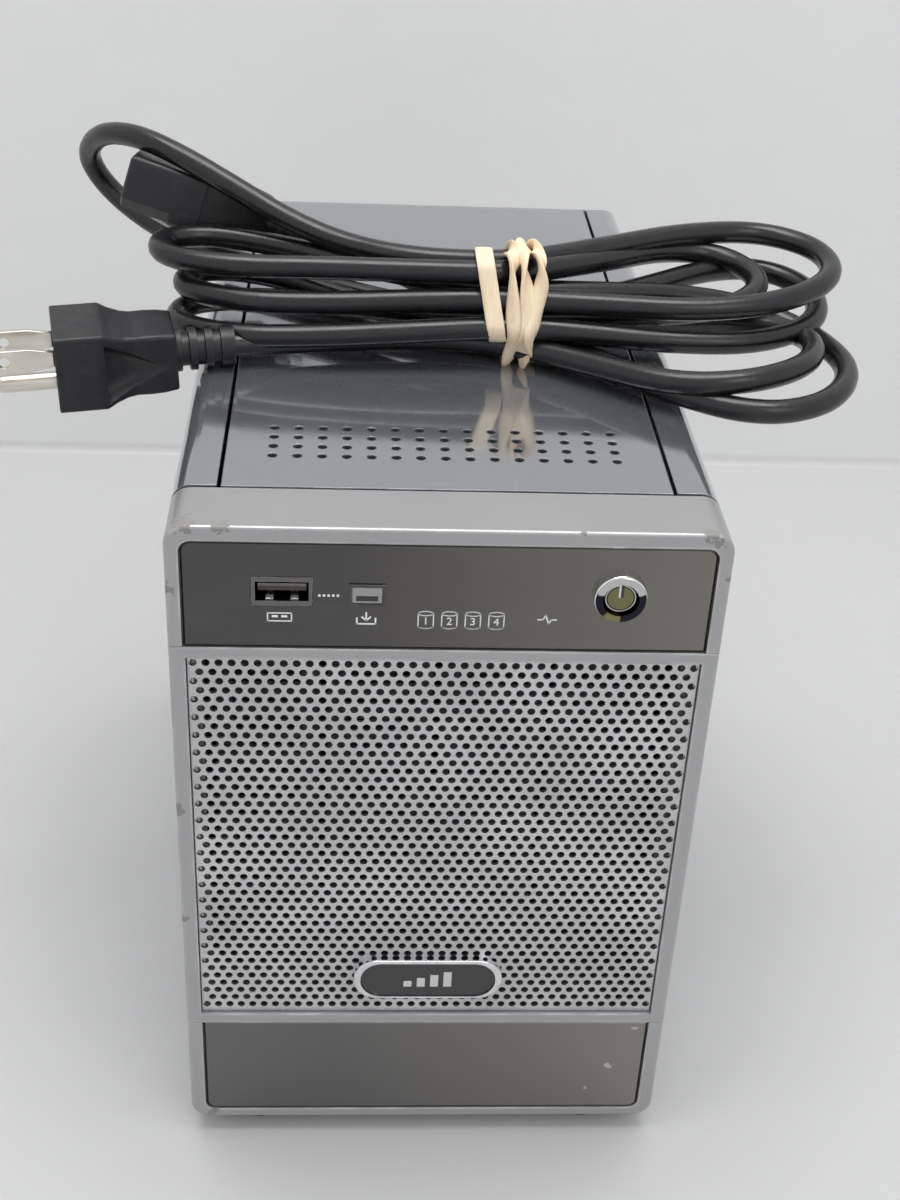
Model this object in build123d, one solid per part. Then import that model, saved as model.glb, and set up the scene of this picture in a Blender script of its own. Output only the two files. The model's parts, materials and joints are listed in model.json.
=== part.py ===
from build123d import *
import os
from math import pi, radians, sin, tan

os.makedirs("parts", exist_ok=True)

# Four-bay desktop network storage unit with its power cord lying on top.
# Millimetres.  +Z up, the front faces -Y, origin under the centre of the case on the
# surface that the rubber feet stand on.

# ---- driving dimensions -------------------------------------------------------------
WIDTH = 132.0
HEIGHT = 200.0
FRONT = -110.0            # face of the bezel and the door
BACK = 112.0              # outer face of the fan guard and the screw heads
FOOT_HEIGHT = 5.6
FOOT_RADIUS = 8.0
FOOT_X = 47.0
FOOT_Y = 98.0
CORNER = 5.3              # radius of the case's long edges
SHEET = 1.4               # side covers and top panel
THIN = 1.2                # inner sheet metal

HALF = WIDTH / 2
BEZEL_REAR = FRONT + 18.7
PANEL_FRONT = BEZEL_REAR + 0.9      # dark seam behind the bezel
REAR_INNER = BACK - 2.6             # inner face of the rear panel
REAR_OUTER = BACK - 1.4             # outer face of the rear panel

DOOR_BOTTOM = 43.0
DOOR_TOP = 167.2
DOOR_GAP = 0.15
DOOR_REAR = FRONT + 11.5
FRAME_FRONT = DOOR_REAR + 0.3       # bezel frame behind the door
HINGE_RADIUS = 4.2                  # round back edge of the door, concentric with the pins
HINGE_X = -HALF + HINGE_RADIUS
HINGE_Y = DOOR_REAR - HINGE_RADIUS
PIN_RADIUS = 1.2
PIN_CLEARANCE = 0.05
CATCH_X = HALF - 3.2                # magnets that hold the free edge of the door
CATCH_Z = (62.0, 150.0)

WINDOW_X = 62.0                     # opening of the door, filled by the perforated sheet
WINDOW_BOTTOM = 46.4
WINDOW_TOP = 164.0
MESH_FRONT = FRONT + 1.1
MESH_SHEET = 0.8
HOLE_RADIUS = 1.0
HOLE_PITCH = 3.1
ROW_PITCH = HOLE_PITCH * sin(radians(60))
MESH_ROWS = 43
MESH_COLUMNS = 40
MESH_MIDDLE = 105.65                # height of the middle row of holes

BADGE_X, BADGE_Z = -0.5, 60.3       # blank badge on the perforated sheet

MIRROR_FACE = FRONT + 0.3
MIRROR_BACK = FRONT + 2.0
WALL_BACK = FRONT + 4.0             # inside of the bezel wall behind the mirrors
MIRROR_CORNER = 2.6
MIRROR_BEVEL = 0.5
MIRROR_GAP = 0.3                    # dark line all round the mirrors
UPPER_MIRROR = (-62.3, 62.3, 167.35, 195.8)     # low x, high x, low z, high z
LOWER_MIRROR = (-61.6, 61.6, 9.1, 42.85)
GROOVE_X = 54.5                     # grooves between the top panel and the side covers
GROOVE_WIDTH = 1.0

POWER_X, POWER_Z = 40.2, 183.0
POWER_RING_RADIUS = 6.4
POWER_BORE = 4.3
BACKUP = (-23.5, -14.8, 179.1, 185.2)
BACKUP_WALL = 0.8
USB_FRONT = (-46.1, -31.9, 179.0, 186.8)
DISK_LIGHTS = [-5.2, 0.4, 5.9, 11.5, 23.5]
LIGHT_Z = 175.5

BAY_FLOOR = 46.7                    # top of the lower shelf
BAY_ROOF = 162.3                    # underside of the upper shelf
TRAY_PITCH = 29.6
TRAY_COUNT = 4
TRAY_FRONT = -82.0
TRAY_BACK = 72.0
DRIVE_WIDTH = 25.4
DRIVE_HEIGHT = 101.6
DRIVE_LENGTH = 147.0

FAN_SIZE = 92.0
FAN_DEPTH = 25.0
FAN_Z = 104.0
FAN_BACK = REAR_INNER
FAN_HOLE_SPACING = 82.5
FAN_BLADES = 7

BOARD_Z = 168.0
BOARD_THICK = 1.6
JACK = (-28.0, -12.0, 169.6, 183.1)
USB_STACK = (-4.0, 10.5, 169.6, 185.6)
RESET_X, RESET_Z = 22.0, 176.0
INLET_X, INLET_Z = 34.0, 24.5
INLET_WIDE = 27.4
INLET_TALL = 19.8
LOCK_X = (40.0, 47.0)               # slot for a cable lock
LOCK_Z = (174.5, 177.5)

CORD = 6.4                          # outside diameter of the power cord
HANK_BOTTOM = HEIGHT + 1.7
HANK_TOP = HEIGHT + 27.6
BAND_X = (11.0, 29.0)
WAIST_Y = (-25.4, 1.2)              # front and back of the hank where the band holds it
BAND_THICK = 1.2


# ---- small helpers ------------------------------------------------------------------
def block(x0, x1, y0, y1, z0, z1):
    """A box between two corners."""
    centre = ((x0 + x1) / 2, (y0 + y1) / 2, (z0 + z1) / 2)
    return Pos(*centre) * Box(x1 - x0, y1 - y0, z1 - z0)


def rod_x(x0, x1, y, z, radius):
    """A cylinder along X."""
    return Pos((x0 + x1) / 2, y, z) * Rot(0, 90, 0) * Cylinder(radius, x1 - x0)


def rod_y(x, z, radius, y0, y1):
    """A cylinder along Y."""
    return Pos(x, (y0 + y1) / 2, z) * Rot(90, 0, 0) * Cylinder(radius, y1 - y0)


def rod_z(x, y, radius, z0, z1):
    """A cylinder along Z."""
    return Pos(x, y, (z0 + z1) / 2) * Cylinder(radius, z1 - z0)


def pill_y(x, z, wide, tall, radius, y0, y1):
    """A plate with rounded ends whose flat faces look along Y."""
    plane = Plane(origin=(x, y0, z), x_dir=(1, 0, 0), z_dir=(0, 1, 0))
    return extrude(plane * RectangleRounded(wide, tall, radius), y1 - y0)


def ease(solid, axis, radius):
    """Round every edge that runs along an axis."""
    return fillet(solid.edges().filter_by(axis), radius)


def ease_front(solid, radius):
    """Round the edges of the face nearest the viewer."""
    return fillet(solid.faces().sort_by(Axis.Y)[0].edges(), radius)


def save(name, shape):
    """Write one named sub-part."""
    solids = shape.solids()
    whole = solids[0] if len(solids) == 1 else Compound(children=list(solids))
    whole.label = name
    export_step(whole, f"parts/{name}.step")


def tray_centres():
    """Middle of each drive slot, from left to right."""
    first = -TRAY_PITCH * (TRAY_COUNT - 1) / 2
    return [first + TRAY_PITCH * slot for slot in range(TRAY_COUNT)]


# ---- front bezel and what sits in it --------------------------------------------------
def front_bezel():
    bezel = block(-HALF, HALF, FRONT, BEZEL_REAR, FOOT_HEIGHT, HEIGHT)
    bezel = ease(bezel, Axis.Y, CORNER)
    bezel = ease_front(bezel, 0.8)
    # the door fills the middle of the front over the whole width
    bezel -= block(-HALF - 1, HALF + 1, FRONT - 1, FRAME_FRONT, DOOR_BOTTOM, DOOR_TOP)
    bezel -= block(-59.6, 59.6, FRAME_FRONT - 1, BEZEL_REAR + 1, WINDOW_BOTTOM, WINDOW_TOP)
    for low_x, high_x, low_z, high_z in (UPPER_MIRROR, LOWER_MIRROR):
        low_x, high_x = low_x - MIRROR_GAP, high_x + MIRROR_GAP
        low_z, high_z = low_z - MIRROR_GAP, high_z + MIRROR_GAP
        recess = block(low_x, high_x, FRONT - 1, MIRROR_BACK, low_z, high_z)
        bezel -= ease(recess, Axis.Y, MIRROR_CORNER + MIRROR_GAP)
    # straight seams where the mirrors meet the door
    side = UPPER_MIRROR[1] + MIRROR_GAP
    bezel -= block(-side, side, FRONT - 1, MIRROR_BACK, DOOR_TOP - 1, DOOR_TOP + 4)
    side = LOWER_MIRROR[1] + MIRROR_GAP
    bezel -= block(-side, side, FRONT - 1, MIRROR_BACK, DOOR_BOTTOM - 4, DOOR_BOTTOM + 1)
    # hollow back of the upper and lower blocks
    bezel -= block(-62, 62, WALL_BACK, BEZEL_REAR + 1, DOOR_TOP + 2.8, HEIGHT - 3.2)
    bezel -= block(-62, 62, WALL_BACK, BEZEL_REAR + 1, FOOT_HEIGHT + 4, DOOR_BOTTOM - 2.6)
    bezel -= front_wall_holes()
    bezel -= hinge_relief()
    bezel -= hinge_pins(0)
    for z in CATCH_Z:
        bezel -= rod_y(CATCH_X, z, 2.5, FRAME_FRONT - 1, FRAME_FRONT + 2.5)
    return bezel


def front_wall_holes():
    """Openings behind the mirrors for the port, the buttons, the lights and the display."""
    low_x, high_x, low_z, high_z = USB_FRONT
    holes = block(low_x - 0.2, high_x + 0.2, FRONT, WALL_BACK + 1, low_z - 0.2, high_z + 0.2)
    low_x, high_x, low_z, high_z = BACKUP
    holes += block(low_x, high_x, FRONT, WALL_BACK + 1, low_z, high_z)
    holes += rod_y(POWER_X, POWER_Z, 5.2, FRONT, WALL_BACK + 1)
    for x in DISK_LIGHTS:
        holes += block(x - 1.3, x + 1.3, FRONT, WALL_BACK + 1, LIGHT_Z - 1.3, LIGHT_Z + 1.3)
    holes += block(-32, 32, FRONT, WALL_BACK + 1, 16, 35)
    return holes


def hinge_relief():
    """Bevel on the frame's left edge that lets the door swing past it."""
    x0, y0 = -HALF - 0.1, FRAME_FRONT
    with BuildPart() as wedge:
        with BuildSketch(Plane.XY.offset(DOOR_BOTTOM)):
            with BuildLine():
                Polyline((x0, y0 - 0.1), (x0 + 4.8, y0 - 0.1), (x0, y0 + 3.4), close=True)
            make_face()
        extrude(amount=DOOR_TOP - DOOR_BOTTOM)
    return wedge.part


def hinge_pins(clearance):
    """The two steel pins, or with a clearance the holes they turn in."""
    radius = PIN_RADIUS + clearance
    upper = rod_z(HINGE_X, HINGE_Y, radius, DOOR_TOP - 10, DOOR_TOP + 2.4)
    lower = rod_z(HINGE_X, HINGE_Y, radius, DOOR_BOTTOM - 2.4, DOOR_BOTTOM + 10)
    return upper + lower


def mirror_panel(extent, rounded_side):
    """Bevelled acrylic sheet; its rounded corners are at the top (-1) or the bottom (0)."""
    low_x, high_x, low_z, high_z = extent
    panel = block(low_x, high_x, MIRROR_FACE, MIRROR_BACK - 0.1, low_z, high_z)
    panel = fillet(panel.edges().filter_by(Axis.Y).group_by(Axis.Z)[rounded_side], MIRROR_CORNER)
    return chamfer(panel.faces().sort_by(Axis.Y)[0].edges(), MIRROR_BEVEL)


def upper_mirror_panel():
    panel = mirror_panel(UPPER_MIRROR, -1)
    low_x, high_x, low_z, high_z = USB_FRONT
    panel -= block(low_x - 0.1, high_x + 0.1, FRONT - 1, WALL_BACK, low_z - 0.1, high_z + 0.1)
    low_x, high_x, low_z, high_z = BACKUP
    panel -= block(low_x + 0.25, high_x - 0.25, FRONT - 1, WALL_BACK, low_z + 0.25, high_z - 0.25)
    panel -= rod_y(POWER_X, POWER_Z, 5.1, FRONT - 1, WALL_BACK)
    return panel


def lower_mirror_panel():
    return mirror_panel(LOWER_MIRROR, 0)


def power_button_ring():
    """Threaded bushing with a raised bright rim."""
    rim = rod_y(POWER_X, POWER_Z, POWER_RING_RADIUS, -BACK, MIRROR_FACE)
    rim = fillet(rim.faces().sort_by(Axis.Y)[0].edges(), 0.9)
    ring = rim + rod_y(POWER_X, POWER_Z, 5.0, MIRROR_FACE - 0.1, FRONT + 7)
    return ring - rod_y(POWER_X, POWER_Z, POWER_BORE, FRONT - 4, FRONT + 8)


def power_button():
    button = rod_y(POWER_X, POWER_Z, POWER_BORE - 0.06, FRONT - 0.9, FRONT + 8.5)
    return fillet(button.faces().sort_by(Axis.Y)[0].edges(), 0.5)


def backup_button_frame():
    low_x, high_x, low_z, high_z = BACKUP
    wall = BACKUP_WALL
    step = 0.3
    rim = block(low_x, high_x, FRONT - 0.2, MIRROR_FACE, low_z, high_z)
    frame = ease_front(rim, 0.2)
    inner = (low_z + step, high_z - step)
    frame += block(low_x + step, high_x - step, MIRROR_FACE - 0.1, FRONT + 6, *inner)
    return frame - block(low_x + wall, high_x - wall, FRONT - 1, FRONT + 7, low_z + wall, high_z - wall)


def backup_button():
    low_x, high_x, low_z, high_z = BACKUP
    gap = BACKUP_WALL + 0.1
    button = block(low_x + gap, high_x - gap, FRONT + 0.1, FRONT + 8.8, low_z + gap, high_z - gap)
    middle_x = (low_x + high_x) / 2
    groove = block(middle_x - 2.6, middle_x + 2.6, FRONT - 1, FRONT + 0.7, low_z + 1.5, low_z + 2.9)
    return button - groove


def usb_socket(extent, front, depth):
    """Type A receptacle: flared front, square shell and a flat tongue in the cavity."""
    low_x, high_x, low_z, high_z = extent
    x = (low_x + high_x) / 2
    z = (low_z + high_z) / 2
    shell = block(low_x, high_x, front, front + 0.5, low_z, high_z)
    shell += block(x - 6.7, x + 6.7, front, front + depth, z - 3.1, z + 3.1)
    shell -= block(x - 6.25, x + 6.25, front - 1, front + depth - 1, z - 2.6, z + 2.6)
    return shell + block(x - 5.6, x + 5.6, front + 1.2, front + depth - 0.5, z - 0.3, z + 1.5)


def light_pipes():
    """Clear plastic rods that carry the lights of the front board to the mirror."""
    half = 1.1
    pipes = []
    for x in DISK_LIGHTS:
        pipes.append(block(x - half, x + half, MIRROR_BACK, FRONT + 13.4, LIGHT_Z - half, LIGHT_Z + half))
    return Compound(children=pipes)


def front_board():
    """Circuit board behind the upper mirror, with the two push switches on it."""
    board = block(-58, 58, FRONT + 13.4, FRONT + 15, 171.5, 195)
    board += block(POWER_X - 3, POWER_X + 3, FRONT + 10.2, FRONT + 13.5, POWER_Z - 3, POWER_Z + 3)
    middle_x = (BACKUP[0] + BACKUP[1]) / 2
    middle_z = (BACKUP[2] + BACKUP[3]) / 2
    board += block(middle_x - 3, middle_x + 3, FRONT + 10, FRONT + 13.5, middle_z - 3, middle_z + 3)
    return board


def lcd_module():
    """Two-line display in a metal frame on its own circuit board."""
    module = block(-38, 38, WALL_BACK + 0.2, FRONT + 9, 13.4, 37.6)
    module -= block(-30, 30, WALL_BACK, WALL_BACK + 1.2, 17, 34)
    module += block(-40, 40, FRONT + 9, FRONT + 10.6, 12, 39)
    return module


def door_magnets():
    magnets = [rod_y(CATCH_X, z, 2.4, FRAME_FRONT, FRAME_FRONT + 2.5) for z in CATCH_Z]
    return Compound(children=magnets)


# ---- door ---------------------------------------------------------------------------
def door_frame():
    bottom = DOOR_BOTTOM + DOOR_GAP
    top = DOOR_TOP - DOOR_GAP
    door = block(-HALF, HALF, FRONT, DOOR_REAR, bottom, top)
    back_left = door.edges().filter_by(Axis.Z).sort_by(Axis.Y)[-2:].sort_by(Axis.X)[0]
    door = fillet(back_left, HINGE_RADIUS)
    front_edges = door.edges().filter_by(Axis.Z).sort_by(Axis.Y)[:2]
    door = fillet(front_edges, 0.8)
    door -= block(-WINDOW_X, WINDOW_X, FRONT - 1, DOOR_REAR + 1, WINDOW_BOTTOM, WINDOW_TOP)
    door += rod_z(HINGE_X, HINGE_Y, 3.6, WINDOW_TOP - 8, WINDOW_TOP + 0.5)
    door += rod_z(HINGE_X, HINGE_Y, 3.6, WINDOW_BOTTOM - 0.5, WINDOW_BOTTOM + 8)
    door -= hinge_pins(PIN_CLEARANCE)
    for z in CATCH_Z:
        door -= block(HALF - 4.6, HALF - 1.8, DOOR_REAR - 1, DOOR_REAR + 1, z - 6, z + 6)
    return door


def door_strike_plates():
    """Steel strips let into the back of the door, opposite the magnets."""
    plates = []
    for z in CATCH_Z:
        plates.append(block(HALF - 4.0, HALF - 1.9, DOOR_REAR - 0.95, DOOR_REAR, z - 5.9, z + 5.9))
    return Compound(children=plates)


def mesh_hole_centres():
    """Staggered rows of round holes that fill the window."""
    for row in range(MESH_ROWS):
        z = MESH_MIDDLE + (row - (MESH_ROWS - 1) / 2) * ROW_PITCH
        count = MESH_COLUMNS - row % 2
        for column in range(count):
            yield (column - (count - 1) / 2) * HOLE_PITCH, z


def door_mesh():
    """Perforated sheet with a rounded edge turned back into the door."""
    side = WINDOW_X - 0.1
    bottom = WINDOW_BOTTOM + 0.1
    top = WINDOW_TOP - 0.1
    pan = block(-side, side, MESH_FRONT, MESH_FRONT + 2.3, bottom, top)
    pan = ease_front(pan, 0.3)
    sheet = MESH_SHEET
    pan -= block(-side + sheet, side - sheet, MESH_FRONT + sheet, FRONT + 9, bottom + sheet, top - sheet)
    flat = 61.55
    low, high = 47.3, 163.5
    pan -= block(-flat, flat, FRONT, MESH_FRONT + sheet, low, high)
    plane = Plane(origin=(0, MESH_FRONT, 0), x_dir=(1, 0, 0), z_dir=(0, -1, 0))
    corners = [(-flat, low), (flat, low), (flat, high), (-flat, high)]
    outline = Wire.make_polygon([plane.from_local_coords(Vector(x, z, 0)) for x, z in corners])
    holes = []
    for x, z in mesh_hole_centres():
        hole_plane = Plane(origin=(x, MESH_FRONT, z), x_dir=(1, 0, 0), z_dir=(0, -1, 0))
        holes.append(Wire.make_circle(HOLE_RADIUS, hole_plane))
    face = Face(outline, holes)
    plate = Solid.extrude(face, Vector(0, sheet, 0))
    return plate + pan


def badge_rim():
    rim = pill_y(BADGE_X, BADGE_Z, 40.2, 13.8, 6.4, FRONT - 1.2, MESH_FRONT)
    rim = ease_front(rim, 0.5)
    return rim - pill_y(BADGE_X, BADGE_Z, 36.6, 12.0, 5.8, FRONT - 2, FRONT + 2)


def badge_plate():
    return pill_y(BADGE_X, BADGE_Z, 36.4, 11.8, 5.7, FRONT - 0.7, MESH_FRONT)


# ---- outer covers ---------------------------------------------------------------------
def top_panel():
    side = GROOVE_X - GROOVE_WIDTH / 2
    panel = block(-side, side, PANEL_FRONT, REAR_INNER, HEIGHT - SHEET, HEIGHT)
    for x0 in (-side, side - THIN):
        panel += block(x0, x0 + THIN, PANEL_FRONT, REAR_INNER, HEIGHT - 9, HEIGHT - SHEET)
    panel += block(-side, side, PANEL_FRONT, PANEL_FRONT + THIN, HEIGHT - 6, HEIGHT - SHEET)
    for column in range(15):
        for row in range(4):
            x = -42.6 + 6.07 * column
            y = -74.3 + 5.03 * row
            panel -= rod_z(x, y, 1.2, HEIGHT - 3, HEIGHT + 1)
    return panel


def right_side_cover():
    inner_x = GROOVE_X + GROOVE_WIDTH / 2
    cover = block(inner_x, HALF, PANEL_FRONT + 0.3, REAR_INNER, FOOT_HEIGHT, HEIGHT)
    top_outer = cover.edges().filter_by(Axis.Y).sort_by(Axis.Z)[-2:].sort_by(Axis.X)[-1]
    cover = fillet(top_outer, CORNER)
    hollow = block(inner_x - 1, HALF - SHEET, PANEL_FRONT - 1, BACK, FOOT_HEIGHT - 1, HEIGHT - SHEET)
    top_outer = hollow.edges().filter_by(Axis.Y).sort_by(Axis.Z)[-2:].sort_by(Axis.X)[-1]
    cover -= fillet(top_outer, CORNER - SHEET)
    # down-turned edge beside the groove and the screwed flange at the back
    cover += block(inner_x, inner_x + THIN, PANEL_FRONT + 0.3, REAR_INNER, HEIGHT - 9, HEIGHT - SHEET)
    cover += block(HALF - 8.5, HALF - SHEET, REAR_INNER - THIN, REAR_INNER, 18, 186)
    for z in (30.0, 178.0):
        cover -= rod_y(HALF - 5.5, z, 1.25, REAR_INNER - 3, REAR_INNER + 1)
    return cover


def rear_panel():
    panel = block(-HALF, HALF, REAR_INNER, REAR_OUTER, FOOT_HEIGHT, HEIGHT)
    panel = ease(panel, Axis.Y, CORNER)
    panel -= rod_y(0, FAN_Z, 44, REAR_INNER - 1, BACK)
    for x, z in screw_places():
        panel -= rod_y(x, z, 1.6, REAR_INNER - 1, BACK)
    for x, z in fan_screw_places():
        panel -= rod_y(x, z, 2.2, REAR_INNER - 1, BACK)
    for low_x, high_x, low_z, high_z in (JACK, USB_STACK):
        panel -= block(low_x - 0.2, high_x + 0.2, REAR_INNER - 1, BACK, low_z - 0.2, high_z + 0.2)
    panel -= rod_y(RESET_X, RESET_Z, 1.5, REAR_INNER - 1, BACK)
    panel -= block(LOCK_X[0], LOCK_X[1], REAR_INNER - 1, BACK, LOCK_Z[0], LOCK_Z[1])
    low_x, high_x = INLET_X - INLET_WIDE / 2 - 0.2, INLET_X + INLET_WIDE / 2 + 0.2
    low_z, high_z = INLET_Z - INLET_TALL / 2 - 0.2, INLET_Z + INLET_TALL / 2 + 0.2
    panel -= block(low_x, high_x, REAR_INNER - 1, BACK, low_z, high_z)
    for slot in range(10):
        x = -48 + 5 * slot
        panel -= block(x, x + 2.4, REAR_INNER - 1, BACK, 12, 38)
    for slot in range(7):
        z = 171 + 3.4 * slot
        panel -= block(-52, -34, REAR_INNER - 1, BACK, z, z + 1.6)
    return panel


def screw_places():
    """Two screws at the back of each side cover."""
    side = HALF - 5.5
    return [(-side, 30.0), (side, 30.0), (-side, 178.0), (side, 178.0)]


def fan_screw_places():
    reach = FAN_HOLE_SPACING / 2
    return [(x, FAN_Z + z) for x in (-reach, reach) for z in (-reach, reach)]


def case_screws():
    """Pan-head screws of the covers and the fan, all seen from behind."""
    screws = []
    sizes = [(x, z, 2.9, 1.2) for x, z in screw_places()]
    sizes += [(x, z, 3.6, 2.1) for x, z in fan_screw_places()]
    for x, z, head, shank in sizes:
        screw = rod_y(x, z, head, REAR_OUTER, BACK)
        screw = fillet(screw.faces().sort_by(Axis.Y)[-1].edges(), 0.6)
        screw += rod_y(x, z, shank, REAR_INNER - 4, REAR_OUTER + 0.2)
        screw -= block(x - 1.8, x + 1.8, BACK - 0.7, BACK + 1, z - 0.3, z + 0.3)
        screw -= block(x - 0.3, x + 0.3, BACK - 0.7, BACK + 1, z - 1.8, z + 1.8)
        screws.append(screw)
    return Compound(children=screws)


def base_pan():
    side = HALF - SHEET - 0.2
    pan = block(-side, side, BEZEL_REAR, REAR_INNER, FOOT_HEIGHT, FOOT_HEIGHT + THIN)
    for x0 in (-side, side - THIN):
        pan += block(x0, x0 + THIN, BEZEL_REAR + 2, REAR_INNER - 2, FOOT_HEIGHT, FOOT_HEIGHT + 12)
    for slot in range(8):
        x = -31.5 + 8 * slot
        pan -= block(x, x + 3, -70, -30, FOOT_HEIGHT - 1, FOOT_HEIGHT + 2)
    return pan


def rubber_feet():
    feet = []
    for x in (-FOOT_X, FOOT_X):
        for y in (-FOOT_Y, FOOT_Y):
            foot = Pos(x, y, FOOT_HEIGHT / 2) * Cone(FOOT_RADIUS - 0.8, FOOT_RADIUS, FOOT_HEIGHT)
            feet.append(fillet(foot.faces().sort_by(Axis.Z)[0].edges(), 0.6))
    return Compound(children=feet)


# ---- drive bay ------------------------------------------------------------------------
def drive_cage():
    """Two shelves riveted between two slotted side plates that stand on the base pan."""
    side = HALF - 3.4
    front, back = BEZEL_REAR + 0.6, 82.0
    sheets = []
    for z in (BAY_FLOOR - THIN, BAY_ROOF):
        sheets.append(block(-side + THIN, side - THIN, front, back, z, z + THIN))
    for x0 in (-side, side - THIN):
        plate = block(x0, x0 + THIN, front, back, FOOT_HEIGHT + THIN, HEIGHT - 11)
        for y in (-60, -20, 20, 60):
            plate -= block(x0 - 1, x0 + THIN + 1, y - 8, y + 8, 60, 150)
        sheets.append(plate)
    return Compound(children=sheets)


def tray_guide_rails():
    """Ribs on both shelves that keep the trays apart."""
    rails = []
    for slot in range(TRAY_COUNT + 1):
        x = tray_centres()[0] + TRAY_PITCH * (slot - 0.5)
        rails.append(block(x - 0.8, x + 0.8, -77, 78, BAY_FLOOR, BAY_FLOOR + 5))
        rails.append(block(x - 0.8, x + 0.8, -77, 78, BAY_ROOF - 5, BAY_ROOF))
    return Compound(children=rails)


def drive_tray(x):
    """Sheet carrier with a vented front, a finger lip and a hole for its release button."""
    low, high = BAY_FLOOR + 0.3, BAY_ROOF - 0.4
    tray = block(x - 14, x + 14, TRAY_FRONT, TRAY_FRONT + 3, low, high)
    tray = ease_front(tray, 0.7)
    tray += block(x - 13.6, x - 12.6, TRAY_FRONT + 2, TRAY_BACK, low, high)
    tray += block(x - 13.6, x + 13.6, TRAY_FRONT + 2, TRAY_BACK, low, low + THIN)
    tray += block(x - 13.6, x + 13.6, TRAY_FRONT + 2, TRAY_BACK, high - THIN, high)
    tray += block(x - 10, x + 10, TRAY_FRONT - 4, TRAY_FRONT + 1, low + 5, low + 7)
    tray -= block(x - 5, x + 5, TRAY_FRONT - 1, TRAY_FRONT + 4, 153.4, 159.4)
    for slot in range(11):
        z = 62 + 7.6 * slot
        tray -= block(x - 9, x + 9, TRAY_FRONT - 1, TRAY_FRONT + 4, z, z + 4)
    return tray


def tray_button(x):
    button = block(x - 4.85, x + 4.85, TRAY_FRONT - 1.4, TRAY_FRONT + 7, 153.55, 159.25)
    return ease_front(button, 0.5)


def hard_drive(x):
    """3.5 inch drive on its long edge: casting, cover plate and recessed circuit board."""
    y0 = TRAY_FRONT + 5
    z0 = BAY_FLOOR + 2.7
    x0 = x - 12.4
    drive = block(x0, x0 + DRIVE_WIDTH, y0, y0 + DRIVE_LENGTH, z0, z0 + DRIVE_HEIGHT)
    drive = ease(drive, Axis.X, 2.0)
    high_x = x0 + DRIVE_WIDTH
    back, top = y0 + DRIVE_LENGTH, z0 + DRIVE_HEIGHT
    drive -= block(high_x - 1.6, high_x + 1, y0 + 30, back - 6, z0 + 6, top - 6)
    drive += block(high_x - 2, high_x - 0.4, y0 + 40, back - 8, z0 + 9, top - 9)
    drive -= rod_x(x0 - 1, x0 + 0.6, y0 + 62, z0 + DRIVE_HEIGHT / 2, 42)
    drive += rod_x(x0 + 0.2, x0 + 0.8, y0 + 62, z0 + DRIVE_HEIGHT / 2, 13)
    return drive


def backplane_board():
    board = block(-58, 58, 80, 81.6, 49, 160)
    for x in tray_centres():
        board -= block(x - 9, x + 9, 79, 83, 112, 152)
    return board


def backplane_sockets():
    sockets = [block(x - 4, x + 4, 70.6, 80, 60, 104) for x in tray_centres()]
    return Compound(children=sockets)


# ---- fan ------------------------------------------------------------------------------
def case_fan_frame():
    half = FAN_SIZE / 2
    front = FAN_BACK - FAN_DEPTH
    frame = block(-half, half, front, FAN_BACK, FAN_Z - half, FAN_Z + half)
    frame = ease(frame, Axis.Y, 4)
    frame -= rod_y(0, FAN_Z, 43.6, front - 1, FAN_BACK + 1)
    for x, z in fan_screw_places():
        frame -= rod_y(x, z, 2.2, front - 1, FAN_BACK + 1)
    frame += rod_y(0, FAN_Z, 17, FAN_BACK - 3.5, FAN_BACK)
    for angle in range(45, 405, 90):
        strut = Pos(0, FAN_BACK - 1.75, FAN_Z) * Rot(0, angle, 0) * Pos(30.5, 0, 0) * Box(30, 3.5, 4)
        frame += strut
    return frame


def case_fan_rotor():
    front = FAN_BACK - FAN_DEPTH + 2
    rotor = rod_y(0, FAN_Z, 17.5, front, FAN_BACK - 4.5)
    rotor = ease_front(rotor, 1.5)
    middle = front + 9
    blades = None
    for blade in range(FAN_BLADES):
        spin = 360 / FAN_BLADES * blade
        plate = Pos(0, middle, FAN_Z) * Rot(0, spin, 0) * Pos(29, 0, 0) * Rot(38, 0, 0) * Box(32, 1.6, 21)
        blades = plate if blades is None else blades + plate
    sweep_room = rod_y(0, FAN_Z, 42.6, front, FAN_BACK - 5)
    return rotor + (blades & sweep_room)


def fan_guard():
    """Welded wire guard: rings joined by a diagonal cross."""
    wire = (BACK - REAR_OUTER) / 2
    y = REAR_OUTER + wire
    plane = Plane(origin=(0, y, FAN_Z), x_dir=(1, 0, 0), z_dir=(0, 1, 0))
    guard = None
    for angle in (45, 135):
        bar = Pos(0, y, FAN_Z) * Rot(0, angle, 0) * Rot(0, 90, 0) * Cylinder(wire, 107)
        guard = bar if guard is None else guard + bar
    for radius in (12, 20, 28, 36, 44):
        guard += plane * Torus(radius, wire)
    return guard


# ---- electronics ----------------------------------------------------------------------
def mainboard():
    return block(-56, 56, -60, 106, BOARD_Z, BOARD_Z + BOARD_THICK)


def board_standoffs():
    posts = []
    for x in (-50, 50):
        for y in (-54, 76):
            posts.append(rod_z(x, y, 2.5, BAY_ROOF + THIN, BOARD_Z))
    return Compound(children=posts)


def cpu_heatsink():
    top = BOARD_Z + BOARD_THICK
    sink = block(-20, 20, 0, 40, top + 2, top + 5)
    sink += block(-12, 12, 8, 32, top, top + 2.5)
    for fin in range(9):
        x = -20 + 4.8 * fin
        sink += block(x, x + 1.6, 0, 40, top + 4.5, top + 18)
    return sink


def memory_module():
    z = BOARD_Z + BOARD_THICK + 2
    module = block(-33.8, 33.8, -48, -18, z, z + 1.2)
    for chip in range(4):
        x = -30 + 15.6 * chip
        module += block(x, x + 12, -44, -26, z + 1, z + 2.3)
    return module


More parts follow.
